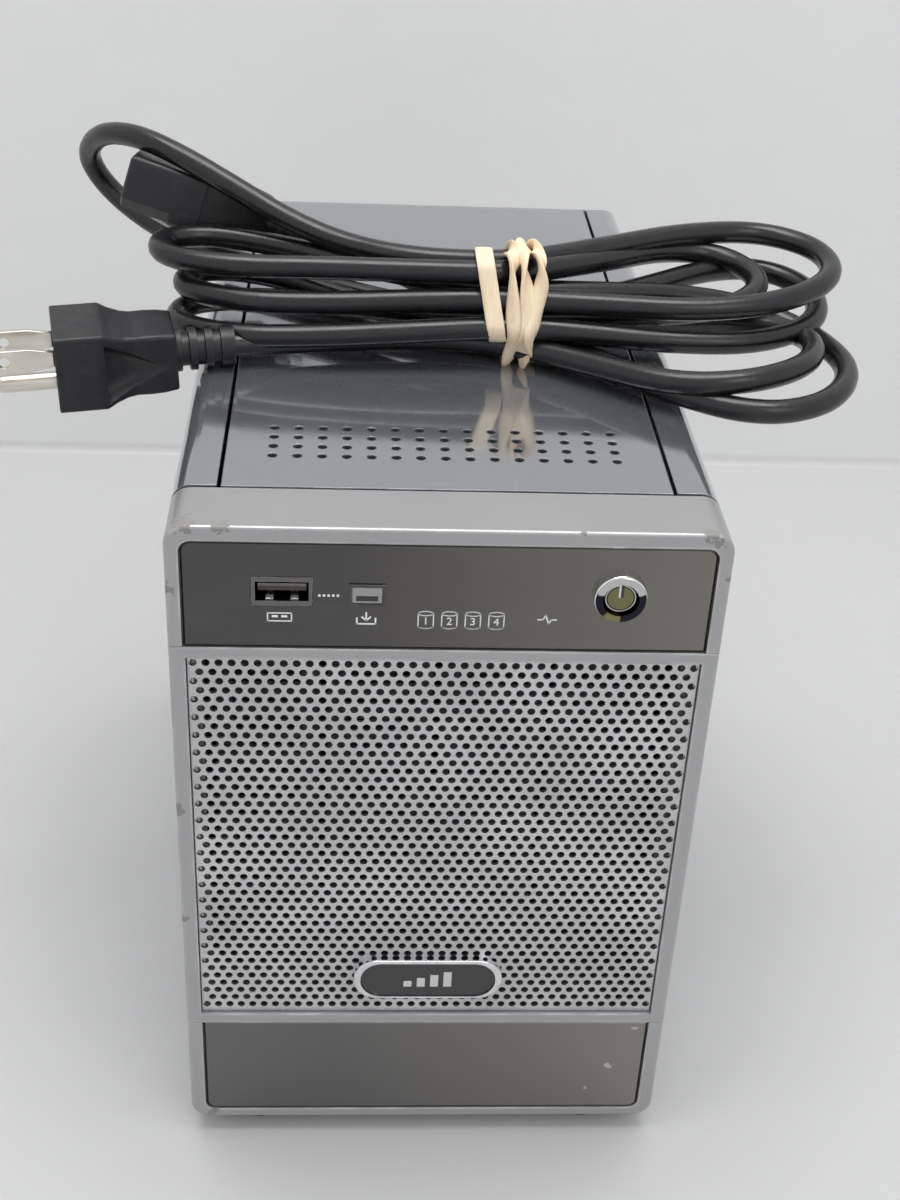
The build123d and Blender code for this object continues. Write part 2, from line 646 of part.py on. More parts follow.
def mainboard_components():
    """Memory socket, capacitors, chips, clock battery, power socket and reset switch."""
    z = BOARD_Z + BOARD_THICK
    parts = [
        block(-35.5, 35.5, -17.8, -12, z, z + 5),
        block(-44, -30, 44, 60, z, z + 1.6),
        block(-2, 18, 52, 72, z, z + 2.0),
        block(24, 38, -10, 4, z, z + 1.6),
        block(-52, -44, -40, -6, z, z + 9),
        rod_z(44, 30, 10, z, z + 3.6),
        block(RESET_X - 3, RESET_X + 3, 96, 100.2, z, z + 9),
    ]
    for index in range(7):
        parts.append(rod_z(-50 + 0.6 * (index % 2), 6 + 10 * index, 3.2, z, z + 9 + index % 3))
    for index in range(3):
        parts.append(rod_z(40 + 2 * index, 58 + 12 * index, 4.0, z, z + 12))
    return Compound(children=parts)


def ethernet_jack():
    low_x, high_x, low_z, high_z = JACK
    x = (low_x + high_x) / 2
    jack = block(low_x, high_x, REAR_OUTER - 21, REAR_OUTER, low_z, high_z)
    jack -= block(x - 5.9, x + 5.9, REAR_OUTER - 14, REAR_OUTER + 1, low_z + 3.4, low_z + 11.2)
    jack -= block(x - 3, x + 3, REAR_OUTER - 8, REAR_OUTER + 1, low_z + 1.6, low_z + 4)
    return jack


def rear_usb_ports():
    low_x, high_x, low_z, high_z = USB_STACK
    x = (low_x + high_x) / 2
    stack = block(low_x, high_x, REAR_OUTER - 17.5, REAR_OUTER, low_z, high_z)
    for z in (low_z + 4.2, low_z + 11.8):
        stack -= block(x - 6.25, x + 6.25, REAR_OUTER - 12, REAR_OUTER + 1, z - 2.6, z + 2.6)
        stack += block(x - 5.6, x + 5.6, REAR_OUTER - 12.5, REAR_OUTER - 1.2, z - 0.3, z + 1.5)
    return stack


def reset_button():
    return rod_y(RESET_X, RESET_Z, 1.42, 101.2, REAR_OUTER - 0.4)


def power_supply_case():
    low, high = FOOT_HEIGHT + THIN + 0.6, 42.0
    case = block(-57, 57, -12, REAR_INNER, low, high)
    case -= block(-56, 56, -11, REAR_INNER + 1, low + 1, high - 1)
    for slot in range(10):
        x = -48 + 5 * slot
        case -= block(x, x + 2.4, -13, -10, 12, 38)
    return case


def mains_inlet():
    """Three-pin appliance inlet with a snap-in flange."""
    low_x, high_x = INLET_X - INLET_WIDE / 2, INLET_X + INLET_WIDE / 2
    low_z, high_z = INLET_Z - INLET_TALL / 2, INLET_Z + INLET_TALL / 2
    flange = block(low_x - 1.8, high_x + 1.8, REAR_OUTER, BACK, low_z - 1.6, high_z + 1.6)
    inlet = ease(flange, Axis.Y, 1.5)
    inlet += block(low_x, high_x, REAR_OUTER - 20, REAR_OUTER + 0.5, low_z, high_z)
    socket = block(INLET_X - 12.1, INLET_X + 12.1, BACK - 16, BACK + 1, INLET_Z - 8.2, INLET_Z + 8.2)
    upper_corners = socket.edges().filter_by(Axis.Y).sort_by(Axis.Z)[-2:]
    inlet -= chamfer(upper_corners, 4)
    for across, up in ((-7, -2), (0, 2), (7, -2)):
        x, z = INLET_X + across, INLET_Z + up
        inlet += block(x - 1, x + 1, BACK - 17, BACK - 2, z - 2, z + 2)
    return inlet


# ---- power cord, tied in a hank on top of the case ---------------------------------------
CONNECTOR_END = Vector(-23.5, 28.0, 211.0)      # where the cord enters the connector's sleeve
CONNECTOR_FACE = Vector(-87.8, 37.0, 232.0)     # middle of the socket face
CONNECTOR_TIP = 10.0                            # degrees that its near side is tipped up
PLUG_END = Vector(-55.5, -21.5, 205.6)
PLUG_FACE = Vector(-101.5, -30.5, 204.4)

# Centre line of the loop that stands up around the connector, from the top of the hank
# round the left end and back under the connector.
LEFT_LOOP = [
    (-8.0, -2.0, 223.8), (-26.4, 8.0, 223.8), (-41.6, 14.5, 227.8), (-55.2, 20.8, 233.6),
    (-70.6, 27.6, 240.3), (-84.0, 35.4, 243.8), (-94.5, 45.5, 241.8), (-101.0, 55.0, 236.0),
    (-103.5, 62.0, 228.5), (-99.0, 64.0, 219.5), (-89.0, 60.0, 212.0), (-75.0, 52.0, 206.8),
    (-56.0, 38.5, 205.6), (-36.0, 26.0, 205.6),
]

# Outline of the tied hank seen from above: wide loops on the right, short folds on the
# left, and a waist where the rubber band holds it.
HANK_OUTLINE = [
    (9, WAIST_Y[0]), (31, WAIST_Y[0]), (44, -39), (62, -53), (84, -59), (106, -52), (118, -30),
    (119, 2), (116, 28), (98, 41), (74, 33), (48, 14), (31, WAIST_Y[1]), (9, WAIST_Y[1]), (-8, 16),
    (-30, 30), (-66, 26), (-83, 14), (-80, -12), (-60, -25),
]


def corner_radii(points):
    """Largest bend that the runs on both sides of each corner allow."""
    places = [Vector(*point) for point in points]
    radii = []
    for before, here, after in zip(places, places[1:], places[2:]):
        arriving = here - before
        leaving = after - here
        turn = radians(arriving.get_angle(leaving))
        radii.append(0.45 * min(arriving.length, leaving.length) / tan(turn / 2))
    return radii


def cord_left_loop():
    radii = corner_radii(LEFT_LOOP)
    print("left loop bend radii:", [round(radius, 1) for radius in radii])
    path = FilletPolyline(*LEFT_LOOP, radius=radii)
    start = Plane(origin=path @ 0, z_dir=path % 0)
    tube = sweep(start * Circle(CORD / 2), path)
    expected = pi * CORD ** 2 / 4 * path.length
    print("left loop volume", round(tube.volume, 1), "section times length", round(expected, 1))
    return tube


def cord_hank():
    outline = make_face(Polyline(*HANK_OUTLINE, close=True))
    outline = fillet(outline.vertices(), 3)
    return Pos(0, 0, HANK_BOTTOM) * extrude(outline, HANK_TOP - HANK_BOTTOM)


def rubber_band():
    """Band wrapped round the waist of the hank, with a hair of room all round."""
    room = 0.1
    low_x, high_x = BAND_X
    low_y, high_y = WAIST_Y
    low_z, high_z = HANK_BOTTOM - room, HANK_TOP + room
    inner = block(low_x - 1, high_x + 1, low_y - room, high_y + room, low_z, high_z)
    thick = room + BAND_THICK
    low_z, high_z = HANK_BOTTOM - thick, HANK_TOP + thick
    outer = block(low_x, high_x, low_y - thick, high_y + thick, low_z, high_z)
    return ease(outer, Axis.X, 1) - inner


def aimed(start, end, tip=0):
    """A plane at start whose normal points to end and whose Y axis points down."""
    direction = (end - start).normalized()
    side = direction.cross(Vector(0, 0, 1)).normalized()
    side = side.rotate(Axis((0, 0, 0), direction), -tip)
    return Plane(origin=start, x_dir=side, z_dir=direction)


def ribbed_sleeve(plane, start, end, radius, ribs):
    """Strain relief: a core with separate rings along it."""
    sleeve = plane * Pos(0, 0, (start + end) / 2) * Cylinder(radius - 1.2, end - start)
    pitch = (end - start) / ribs
    for index in range(ribs):
        place = start + pitch * (index + 0.35)
        sleeve += plane * Pos(0, 0, place) * Cylinder(radius - 0.15 * index, pitch * 0.55)
    return sleeve


def mains_plug():
    """Moulded three-pin plug: broad nose, waisted grip and ribbed sleeve."""
    plane = aimed(PLUG_FACE, PLUG_END)
    sections = [(0, 23.5, 20.5), (12.5, 23.5, 20.5), (19, 17, 18), (30, 15.5, 16.5)]
    body = None
    for (z0, wide0, tall0), (z1, wide1, tall1) in zip(sections, sections[1:]):
        lower = plane * Pos(0, 0, z0) * RectangleRounded(wide0, tall0, 3)
        upper = plane * Pos(0, 0, z1) * RectangleRounded(wide1, tall1, 3)
        piece = loft(Sketch() + [lower, upper])
        body = piece if body is None else body + piece
    return body + ribbed_sleeve(plane, 29, (PLUG_END - PLUG_FACE).length, 5.6, 4)


def plug_blades():
    """Two flat blades and the round earth pin."""
    plane = aimed(PLUG_FACE, PLUG_END)
    blades = [plane * Pos(side * 6.35, -3, -8.4) * Box(1.5, 6.35, 16.8) for side in (-1, 1)]
    pin = plane * Pos(0, 8.9 - 3, -8.4) * Cylinder(2.4, 16.8)
    return Compound(children=blades + [pin])


def appliance_connector():
    """Socket that fits the unit's inlet: boxy nose, narrower rear body, ribbed sleeve."""
    plane = aimed(CONNECTOR_FACE, CONNECTOR_END, CONNECTOR_TIP)
    nose = Box(24, 15.6, 24)
    nose = chamfer(nose.edges().filter_by(Axis.Z).group_by(Axis.Y)[-1], 3)
    nose = plane * Pos(0, 0, 12) * fillet(nose.edges().filter_by(Axis.Z).group_by(Axis.Y)[0], 1.2)
    rear_low = plane * Pos(0, 0, 23.5) * RectangleRounded(24, 16, 3)
    rear_high = plane * Pos(0, 0, 41) * RectangleRounded(15, 13, 3)
    body = nose + loft(Sketch() + [rear_low, rear_high])
    for x, y in ((-7, -2), (0, 2), (7, -2)):
        body -= plane * Pos(x, y, 7) * Box(2.4, 4.4, 16)
    return body + ribbed_sleeve(plane, 40, (CONNECTOR_END - CONNECTOR_FACE).length, 5.4, 7)


# ---- write every sub-part ----------------------------------------------------------------
save("front_bezel", front_bezel())
save("upper_mirror_panel", upper_mirror_panel())
save("lower_mirror_panel", lower_mirror_panel())
save("power_button_ring", power_button_ring())
save("power_button", power_button())
save("backup_button_frame", backup_button_frame())
save("backup_button", backup_button())
save("front_usb_port", usb_socket(USB_FRONT, MIRROR_FACE - 0.1, 13))
save("light_pipes", light_pipes())
save("front_board", front_board())
save("lcd_module", lcd_module())
save("door_magnets", door_magnets())
save("door_hinge_pins", hinge_pins(0))

save("door_frame", door_frame())
save("door_mesh", door_mesh())
save("door_strike_plates", door_strike_plates())
save("badge_rim", badge_rim())
save("badge_plate", badge_plate())

save("top_panel", top_panel())
right_cover = right_side_cover()
save("right_side_cover", right_cover)
save("left_side_cover", mirror(right_cover, about=Plane.YZ))
save("rear_panel", rear_panel())
save("base_pan", base_pan())
save("rubber_feet", rubber_feet())
save("case_screws", case_screws())

save("drive_cage", drive_cage())
save("tray_guide_rails", tray_guide_rails())
save("backplane_board", backplane_board())
save("backplane_sockets", backplane_sockets())
for number, slot_x in enumerate(tray_centres(), start=1):
    save(f"drive_tray_{number}", drive_tray(slot_x))
    save(f"tray_button_{number}", tray_button(slot_x))
    save(f"hard_drive_{number}", hard_drive(slot_x))

save("case_fan_frame", case_fan_frame())
save("case_fan_rotor", case_fan_rotor())
save("fan_guard", fan_guard())

save("mainboard", mainboard())
save("board_standoffs", board_standoffs())
save("cpu_heatsink", cpu_heatsink())
save("memory_module", memory_module())
save("mainboard_components", mainboard_components())
save("ethernet_jack", ethernet_jack())
save("rear_usb_ports", rear_usb_ports())
save("reset_button", reset_button())
save("power_supply_case", power_supply_case())
save("mains_inlet", mains_inlet())

save("power_cord_hank", cord_hank())
save("power_cord_left_loop", cord_left_loop())
save("rubber_band", rubber_band())
save("mains_plug", mains_plug())
save("plug_blades", plug_blades())
save("appliance_connector", appliance_connector())
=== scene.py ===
import json
from math import cos, pi, radians, sin

import bmesh
import bpy
from mathutils import Matrix, Vector


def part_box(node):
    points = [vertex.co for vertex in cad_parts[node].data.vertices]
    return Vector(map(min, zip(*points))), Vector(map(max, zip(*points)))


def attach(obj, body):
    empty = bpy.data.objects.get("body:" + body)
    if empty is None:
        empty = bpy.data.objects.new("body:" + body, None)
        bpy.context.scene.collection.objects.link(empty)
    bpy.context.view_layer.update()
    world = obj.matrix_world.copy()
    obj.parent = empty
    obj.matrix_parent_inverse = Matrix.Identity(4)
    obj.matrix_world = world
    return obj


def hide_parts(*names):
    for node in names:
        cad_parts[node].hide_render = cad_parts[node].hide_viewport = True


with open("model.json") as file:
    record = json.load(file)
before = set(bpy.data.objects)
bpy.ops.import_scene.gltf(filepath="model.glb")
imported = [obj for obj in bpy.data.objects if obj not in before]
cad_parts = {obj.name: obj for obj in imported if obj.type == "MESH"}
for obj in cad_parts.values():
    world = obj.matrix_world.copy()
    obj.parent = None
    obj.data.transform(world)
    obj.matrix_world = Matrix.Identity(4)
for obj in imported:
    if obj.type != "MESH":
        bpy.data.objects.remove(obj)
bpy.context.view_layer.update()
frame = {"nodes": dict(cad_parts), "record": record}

# Desktop network storage unit with its tied power cord, in metres, in the CAD frame:
# the front faces -Y and the rubber feet stand on z = 0.
NODES = frame["nodes"]
MM = 0.001

CORD_DIAMETER = 0.0064

CAMERA_PLACE = (-0.02368, -0.44896, 0.39393)
CAMERA_TURN = (57.934, -2.516, -2.456)      # degrees about X, Y and Z
CAMERA_LENS = 51.37                         # millimetres, on a 36 mm frame


# ---- camera, light and stage ---------------------------------------------------------
def make_camera():
    camera = bpy.data.objects.new("camera", bpy.data.cameras.new("camera"))
    bpy.context.scene.collection.objects.link(camera)
    camera.location = CAMERA_PLACE
    camera.rotation_euler = [radians(angle) for angle in CAMERA_TURN]
    camera.data.lens = CAMERA_LENS
    camera.data.sensor_width = 36
    camera.data.clip_start = 0.01
    camera.data.clip_end = 20
    bpy.context.scene.camera = camera


def area_light(name, place, target, size, power):
    light = bpy.data.lights.new(name, "AREA")
    light.shape = "RECTANGLE"
    light.size, light.size_y = size
    light.energy = power
    lamp = bpy.data.objects.new(name, light)
    bpy.context.scene.collection.objects.link(lamp)
    lamp.location = place
    lamp.rotation_euler = (Vector(target) - Vector(place)).to_track_quat("-Z", "Y").to_euler()


def make_lights():
    world = bpy.data.worlds.new("studio")
    bpy.context.scene.world = world
    world.use_nodes = True
    sky = world.node_tree.nodes["Background"].inputs
    sky["Color"].default_value = (0.86, 0.87, 0.89, 1)
    sky["Strength"].default_value = 0.90
    area_light("overhead", (-0.02, 0.1, 1.7), (0, 0, 0.15), (1.2, 0.9), 21)
    area_light("front_right", (0.7, -1.1, 1.2), (0, 0, 0.12), (0.7, 0.7), 2.5)
    area_light("rear_left", (-0.9, 0.9, 1.2), (0, 0, 0.2), (0.5, 0.9), 8)
    bpy.context.scene.view_settings.view_transform = "Standard"


def make_stage():
    """A pale floor, with a pale wall behind the object that is clear from its far side."""
    wall_y, wall_top, bend, rows = 0.312, 2.2, 0.004, 6
    reach = 3.0
    profile = [(-reach, 0.0)]
    for step in range(rows + 1):
        angle = pi / 2 * step / rows
        profile.append((wall_y - bend + bend * sin(angle), bend - bend * cos(angle)))
    profile.append((wall_y, wall_top))
    points = [(x, y, z) for y, z in profile for x in (-reach, reach)]
    faces = [(2 * i, 2 * i + 1, 2 * i + 3, 2 * i + 2) for i in range(len(profile) - 1)]
    backdrop = mesh_piece("backdrop", points, faces, MATERIALS["backdrop"])
    smooth(backdrop, 60)
    corners = [(-reach, wall_y, 0.0), (reach, wall_y, 0.0), (reach, reach, 0.0), (-reach, reach, 0.0)]
    floor_behind = mesh_piece("floor_behind", corners, [(0, 1, 2, 3)], MATERIALS["backdrop"])


# ---- mesh building ---------------------------------------------------------------------
def mesh_piece(name, points, faces, material):
    """A mesh object from corner points and faces, with its outside facing out."""
    mesh = bpy.data.meshes.new(name)
    mesh.from_pydata([tuple(point) for point in points], [], faces)
    work = bmesh.new()
    work.from_mesh(mesh)
    bmesh.ops.remove_doubles(work, verts=work.verts, dist=1e-7)
    bmesh.ops.recalc_face_normals(work, faces=work.faces)
    work.to_mesh(mesh)
    work.free()
    mesh.materials.append(material)
    piece = bpy.data.objects.new(name, mesh)
    bpy.context.scene.collection.objects.link(piece)
    return piece


def smooth(piece, sharp_degrees=40):
    """Smooth shading that keeps the edges sharper than an angle."""
    piece.data.shade_smooth()
    piece.data.set_sharp_from_angle(angle=radians(sharp_degrees))


def bevel(piece, width):
    """Soft edges wherever two faces meet at more than 35 degrees."""
    modifier = piece.modifiers.new("soft_edges", "BEVEL")
    modifier.width = width
    modifier.segments = 2
    modifier.limit_method = "ANGLE"
    modifier.angle_limit = radians(35)


def tube_faces(rings, count, closed=False):
    """Quads between rings of equal count, with end caps unless the tube is closed on itself."""
    faces = []
    spans = rings if closed else rings - 1
    for ring in range(spans):
        here, ahead = ring * count, (ring + 1) % rings * count
        for corner in range(count):
            after = (corner + 1) % count
            faces.append((here + corner, here + after, ahead + after, ahead + corner))
    if not closed:
        faces.append(tuple(range(count)))
        faces.append(tuple(range((rings - 1) * count, rings * count)))
    return faces


def loft(name, rings, material, closed=False):
    points = [point for ring in rings for point in ring]
    return mesh_piece(name, points, tube_faces(len(rings), len(rings[0]), closed), material)


def rounded_ring(half_wide, half_tall, corner, per_side=6, per_corner=5, chamfer=None):
    """Points round a rectangle, as many for any size, with a chamfer at the +Y corners if given."""
    points = []
    sizes = [corner] * 4 if chamfer is None else [chamfer, chamfer, corner, corner]
    for turn, size in enumerate(sizes):
        along, across = (half_wide, half_tall) if turn % 2 == 0 else (half_tall, half_wide)
        spin = Matrix.Rotation(pi / 2 * turn, 2)
        low, high = sizes[turn - 1] - across, across - size
        for step in range(per_side):
            points.append(spin @ Vector((along, low + (high - low) * step / per_side)))
        for step in range(per_corner):
            share = step / per_corner
            offset = Vector((cos(pi / 2 * share), sin(pi / 2 * share)))
            if chamfer is not None and turn < 2:
                offset = Vector((1 - share, share))
            points.append(spin @ (Vector((along - size, across - size)) + size * offset))
    return points


def prism(outline, low_y, high_y):
    """Points and faces of a plate that looks along Y, from its outline in X and Z."""
    count = len(outline)
    points = [(x, low_y, z) for x, z in outline] + [(x, high_y, z) for x, z in outline]
    return points, tube_faces(2, count)


def joined(name, solids, material):
    """One piece from several (points, faces) solids."""
    points, faces = [], []
    for part_points, part_faces in solids:
        shift = len(points)
        points += part_points
        faces += [tuple(shift + index for index in face) for face in part_faces]
    return mesh_piece(name, points, faces, material)


def carry(piece, body):
    """The piece rides on a body."""
    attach(piece, body)
    return piece


def front_of(node):
    """Middle of a CAD node in X and Z, and the Y of its front face."""
    low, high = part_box(node)
    return (low.x + high.x) / 2, (low.z + high.z) / 2, low.y


# ---- materials ---------------------------------------------------------------------------
# Chipped and scuffed spots of the bezel, and dried specks on the lower mirror: (place, radius).
BEZEL_CHIPS = [
    ((-0.0615, -0.1075, 0.1990), 0.0048), ((-0.0530, -0.1090, 0.1998), 0.0034),
    ((0.0600, -0.1090, 0.1997), 0.0032), ((0.0620, -0.1098, 0.1975), 0.0022),
    ((0.0305, -0.1098, 0.1998), 0.0012), ((0.0657, -0.1095, 0.1885), 0.0018),
    ((-0.0658, -0.1095, 0.118), 0.0032), ((-0.0658, -0.1095, 0.081), 0.0026),
    ((-0.0655, -0.1095, 0.183), 0.003), ((-0.060, -0.1095, 0.0075), 0.003),
]
MIRROR_SPECKS = [
    ((0.052, -0.1097, 0.026), 0.0018), ((0.0585, -0.1097, 0.0405), 0.0015),
    ((0.046, -0.1097, 0.017), 0.0011),
]


class Surface:
    """A principled material built up from layers of procedural detail."""

    def __init__(self, name, **constants):
        self.material = bpy.data.materials.new(name)
        self.material.use_nodes = True
        self.tree = self.material.node_tree
        self.shader = self.tree.nodes["Principled BSDF"]
        for socket, value in constants.items():
            self.shader.inputs[socket.replace("_", " ")].default_value = value
        self.place = self.tree.nodes.new("ShaderNodeTexCoord").outputs["Object"]

    def link(self, source, socket):
        """Connect a node's output, or set a plain value."""
        if isinstance(source, bpy.types.NodeSocket):
            self.tree.links.new(source, socket)
        else:
            socket.default_value = source

    def node(self, kind, output, settings=(), **inputs):
        made = self.tree.nodes.new("ShaderNode" + kind)
        for name, value in settings:
            setattr(made, name, value)
        for name, value in inputs.items():
            self.link(value, made.inputs[name.replace("_", " ")])
        return made.outputs[output]

    def noise(self, scale, detail=3.0, stretch=None):
        place = self.place
        if stretch:
            mapping = self.tree.nodes.new("ShaderNodeMapping")
            mapping.inputs["Scale"].default_value = stretch
            self.tree.links.new(place, mapping.inputs["Vector"])
            place = mapping.outputs["Vector"]
        return self.node("TexNoise", "Fac", Vector=place, Scale=scale, Detail=detail)

    def remap(self, value, low, high, to_low=0.0, to_high=1.0):
        made = self.tree.nodes.new("ShaderNodeMapRange")
        self.link(value, made.inputs["Value"])
        for name, number in (("From Min", low), ("From Max", high),
                             ("To Min", to_low), ("To Max", to_high)):
            made.inputs[name].default_value = number
        return made.outputs["Result"]

    def calc(self, operation, first, second=0.0):
        made = self.tree.nodes.new("ShaderNodeMath")
        made.operation = operation
        self.link(first, made.inputs[0])
        self.link(second, made.inputs[1])
        return made.outputs[0]

    def mix(self, share, first, second):
        """A colour between two colours."""
        made = self.tree.nodes.new("ShaderNodeMix")
        made.data_type = "RGBA"
        self.link(share, made.inputs["Factor"])
        self.link(first if isinstance(first, bpy.types.NodeSocket) else (*first, 1), made.inputs[6])
        self.link(second if isinstance(second, bpy.types.NodeSocket) else (*second, 1), made.inputs[7])
        return made.outputs[2]

    def axis(self, letter):
        return self.node("SeparateXYZ", letter, Vector=self.place)

    def near(self, spot, radius):
        """1 at a spot on the object, falling to 0 at a radius."""
        gap = self.tree.nodes.new("ShaderNodeVectorMath")
        gap.operation = "DISTANCE"
        self.tree.links.new(self.place, gap.inputs[0])
        gap.inputs[1].default_value = spot
        return self.remap(gap.outputs["Value"], radius, 0.0)

    def spots(self, places, ragged, fade, strength=1.0):
        """The strength inside ragged spots on the object, 0 outside them."""
        marked = 0.0
        for spot, radius in places:
            patch = self.calc("SUBTRACT", self.near(spot, radius), ragged)
            marked = self.calc("MAXIMUM", marked, self.remap(patch, 0.0, fade, 0.0, strength))
        return marked

    def edges(self, width):
        """1 along outside edges, 0 on flat faces."""
        rounded = self.node("Bevel", "Normal", [("samples", 4)], Radius=width)
        plain = self.node("NewGeometry", "Normal")
        facing = self.tree.nodes.new("ShaderNodeVectorMath")
        facing.operation = "DOT_PRODUCT"
        self.tree.links.new(rounded, facing.inputs[0])
        self.tree.links.new(plain, facing.inputs[1])
        return self.remap(facing.outputs["Value"], 0.995, 0.8)

    def bump(self, height, distance, soften=0.0):
        """Relief, and edges shaded as if they were rounded to a radius."""
        relief = self.tree.nodes.new("ShaderNodeBump")
        self.link(height, relief.inputs["Height"])
        relief.inputs["Distance"].default_value = distance
        if soften:
            rounded = self.node("Bevel", "Normal", [("samples", 4)], Radius=soften)
            self.link(rounded, relief.inputs["Normal"])
        self.link(relief.outputs["Normal"], self.shader.inputs["Normal"])

    def colour(self, value):
        self.link(value, self.shader.inputs["Base Color"])

    def roughness(self, value):
        self.link(value, self.shader.inputs["Roughness"])


def scaled(colour, share):
    return tuple(channel * share for channel in colour)


def common_surface(name, colour, rough, grain, depth, edge_colour=None, edge_width=0.0005, **constants):
    """Colour drift, a fine grain in colour, gloss and relief, and lighter edges: wear on most parts, a
    painted highlight on the port shell and the dark chrome frame.
    """
    surface = Surface(name, **constants)
    drift = surface.noise(35, 4)
    fine = surface.noise(grain, 2)
    shade = surface.mix(surface.remap(drift, 0.3, 0.7), scaled(colour, 0.93), scaled(colour, 1.06))
    shade = surface.mix(surface.remap(fine, 0.35, 0.75, 0.0, 0.35), shade, scaled(colour, 0.8))
    if edge_colour:
        # lighter patchy edges: wear, and on the shiny metal frames a painted highlight
        patchy = surface.remap(surface.noise(260, 3), 0.45, 0.62)
        edge_wear_and_highlight = surface.calc("MULTIPLY", surface.edges(edge_width), patchy)
        shade = surface.mix(edge_wear_and_highlight, shade, edge_colour)
    surface.colour(shade)
    smudge = surface.remap(surface.noise(55, 5), 0.3, 0.75, rough * 0.85, rough * 1.25)
    surface.roughness(smudge)
    surface.bump(fine, depth)
    return surface


def silver_plastic():
    """Satin metallic plastic with chips at the upper corners, scuffs down the left edge, and a patchy
    painted highlight along its edges.
    """
    colour = (0.42, 0.42, 0.423)
    surface = Surface("silver_plastic", Metallic=0.72, Coat_Weight=0.25, Coat_Roughness=0.22)
    flake = surface.noise(5200, 1)
    drift = surface.noise(22, 4)
    shade = surface.mix(surface.remap(flake, 0.3, 0.7), scaled(colour, 0.88), scaled(colour, 1.12))
    shade = surface.mix(surface.remap(drift, 0.35, 0.7, 0, 0.3), shade, scaled(colour, 0.86))
    edge = surface.edges(0.0012)
    # painted highlight: a lighter colour along the edges, patchy
    painted_edge_highlight = surface.calc("MULTIPLY", edge, surface.remap(surface.noise(90, 3), 0.42, 0.6, 0.15, 0.75))
    shade = surface.mix(painted_edge_highlight, shade, (0.78, 0.78, 0.78))
    ragged = surface.remap(surface.noise(620, 4), 0.3, 0.7, 0.05, 0.8)
    chips = surface.spots(BEZEL_CHIPS, ragged, 0.06)
    shade = surface.mix(chips, shade, (0.25, 0.24, 0.225))
    surface.colour(shade)
    surface.link(surface.remap(chips, 0, 1, 0.72, 0.0), surface.shader.inputs["Metallic"])
    smudge = surface.remap(surface.noise(48, 5), 0.3, 0.75, 0.30, 0.42)
    surface.roughness(surface.calc("ADD", smudge, surface.calc("MULTIPLY", chips, 0.3)))
    relief = surface.calc("SUBTRACT", surface.calc("MULTIPLY", surface.noise(2300, 2), 0.12), chips)
    surface.bump(relief, 0.00008, 0.0005)
    return surface


def silver_paint():
    """Clear-coated blue-grey metallic paint with faint orange peel, hairline scratches and a patchy painted
    highlight along its edges.
    """
    colour = (0.275, 0.285, 0.305)
    surface = Surface("silver_paint", Metallic=0.72, Coat_Weight=1.0, Coat_Roughness=0.03)
    flake = surface.noise(6500, 1)
    shade = surface.mix(surface.remap(flake, 0.3, 0.7), scaled(colour, 0.94), scaled(colour, 1.06))
    drift = surface.remap(surface.noise(16, 3), 0.35, 0.7, 0, 0.25)
    shade = surface.mix(drift, shade, scaled(colour, 0.88))
    scratch = surface.remap(surface.noise(900, 2, (1.0, 0.03, 1.0)), 0.70, 0.74)
    shade = surface.mix(surface.calc("MULTIPLY", scratch, 0.25), shade, (0.45, 0.45, 0.46))
    # painted highlight: a lighter colour along the edges, patchy
    edge = surface.calc("MULTIPLY", surface.edges(0.0006), surface.remap(surface.noise(140, 3), 0.45, 0.62))
    shade = surface.mix(surface.calc("MULTIPLY", edge, 0.6), shade, (0.62, 0.62, 0.63))
    surface.colour(shade)
    surface.roughness(surface.remap(surface.noise(45, 5), 0.3, 0.75, 0.09, 0.16))
    surface.bump(surface.noise(420, 2), 0.000004, 0.0005)
    return surface


def smoked_mirror():
    """Tinted mirror with fingermarks and a few pale dried specks near its right end; a painted reflection
    makes it lighter and warmer to the right and lighter low down.
    """
    surface = Surface("smoked_mirror", Metallic=1.0, Coat_Weight=0.15, Coat_Roughness=0.03)
    # painted reflection: darker at the left, lighter and warmer to the right, and lighter on the lower
    # panel than the upper
    across = surface.remap(surface.axis("X"), -0.025, 0.062)
    upper = surface.mix(across, (0.092, 0.088, 0.088), (0.205, 0.195, 0.165))
    lower = surface.mix(across, (0.175, 0.172, 0.168), (0.27, 0.255, 0.24))
    shade = surface.mix(surface.remap(surface.axis("Z"), 0.03, 0.17), lower, upper)
    smear = surface.remap(surface.noise(28, 6, (1.0, 1.0, 2.5)), 0.50, 0.8)
    shade = surface.mix(surface.calc("MULTIPLY", smear, 0.2), shade, (0.22, 0.215, 0.21))
    specks = surface.spots(MIRROR_SPECKS, surface.remap(surface.noise(900, 3), 0.35, 0.7), 0.2, 0.7)
    surface.colour(surface.mix(specks, shade, (0.62, 0.62, 0.61)))
    haze = surface.remap(surface.noise(40, 5), 0.3, 0.8, 0.07, 0.16)
    surface.roughness(surface.calc("ADD", haze, surface.calc("MULTIPLY", specks, 0.5)))
    surface.bump(surface.noise(60, 1), 0.00001)
    return surface


def perforated_steel():
    """Bright plated sheet with dull spots, dust in places and a painted highlight round the hole rims."""
    colour = (0.60, 0.60, 0.605)
    surface = Surface("perforated_steel", Metallic=0.92)
    drift = surface.remap(surface.noise(40, 4), 0.35, 0.7)
    shade = surface.mix(drift, scaled(colour, 0.85), scaled(colour, 1.1))
    dust = surface.remap(surface.noise(700, 3), 0.60, 0.75, 0.0, 0.5)
    shade = surface.mix(dust, shade, (0.36, 0.36, 0.36))
    # painted highlight: a lighter colour round the hole rims
    edge = surface.edges(0.00018)
    surface.colour(surface.mix(surface.calc("MULTIPLY", edge, 0.55), shade, (0.85, 0.85, 0.85)))
    surface.roughness(surface.remap(surface.noise(300, 4), 0.3, 0.75, 0.24, 0.42))
    surface.bump(surface.noise(1500, 2), 0.00003)
    return surface


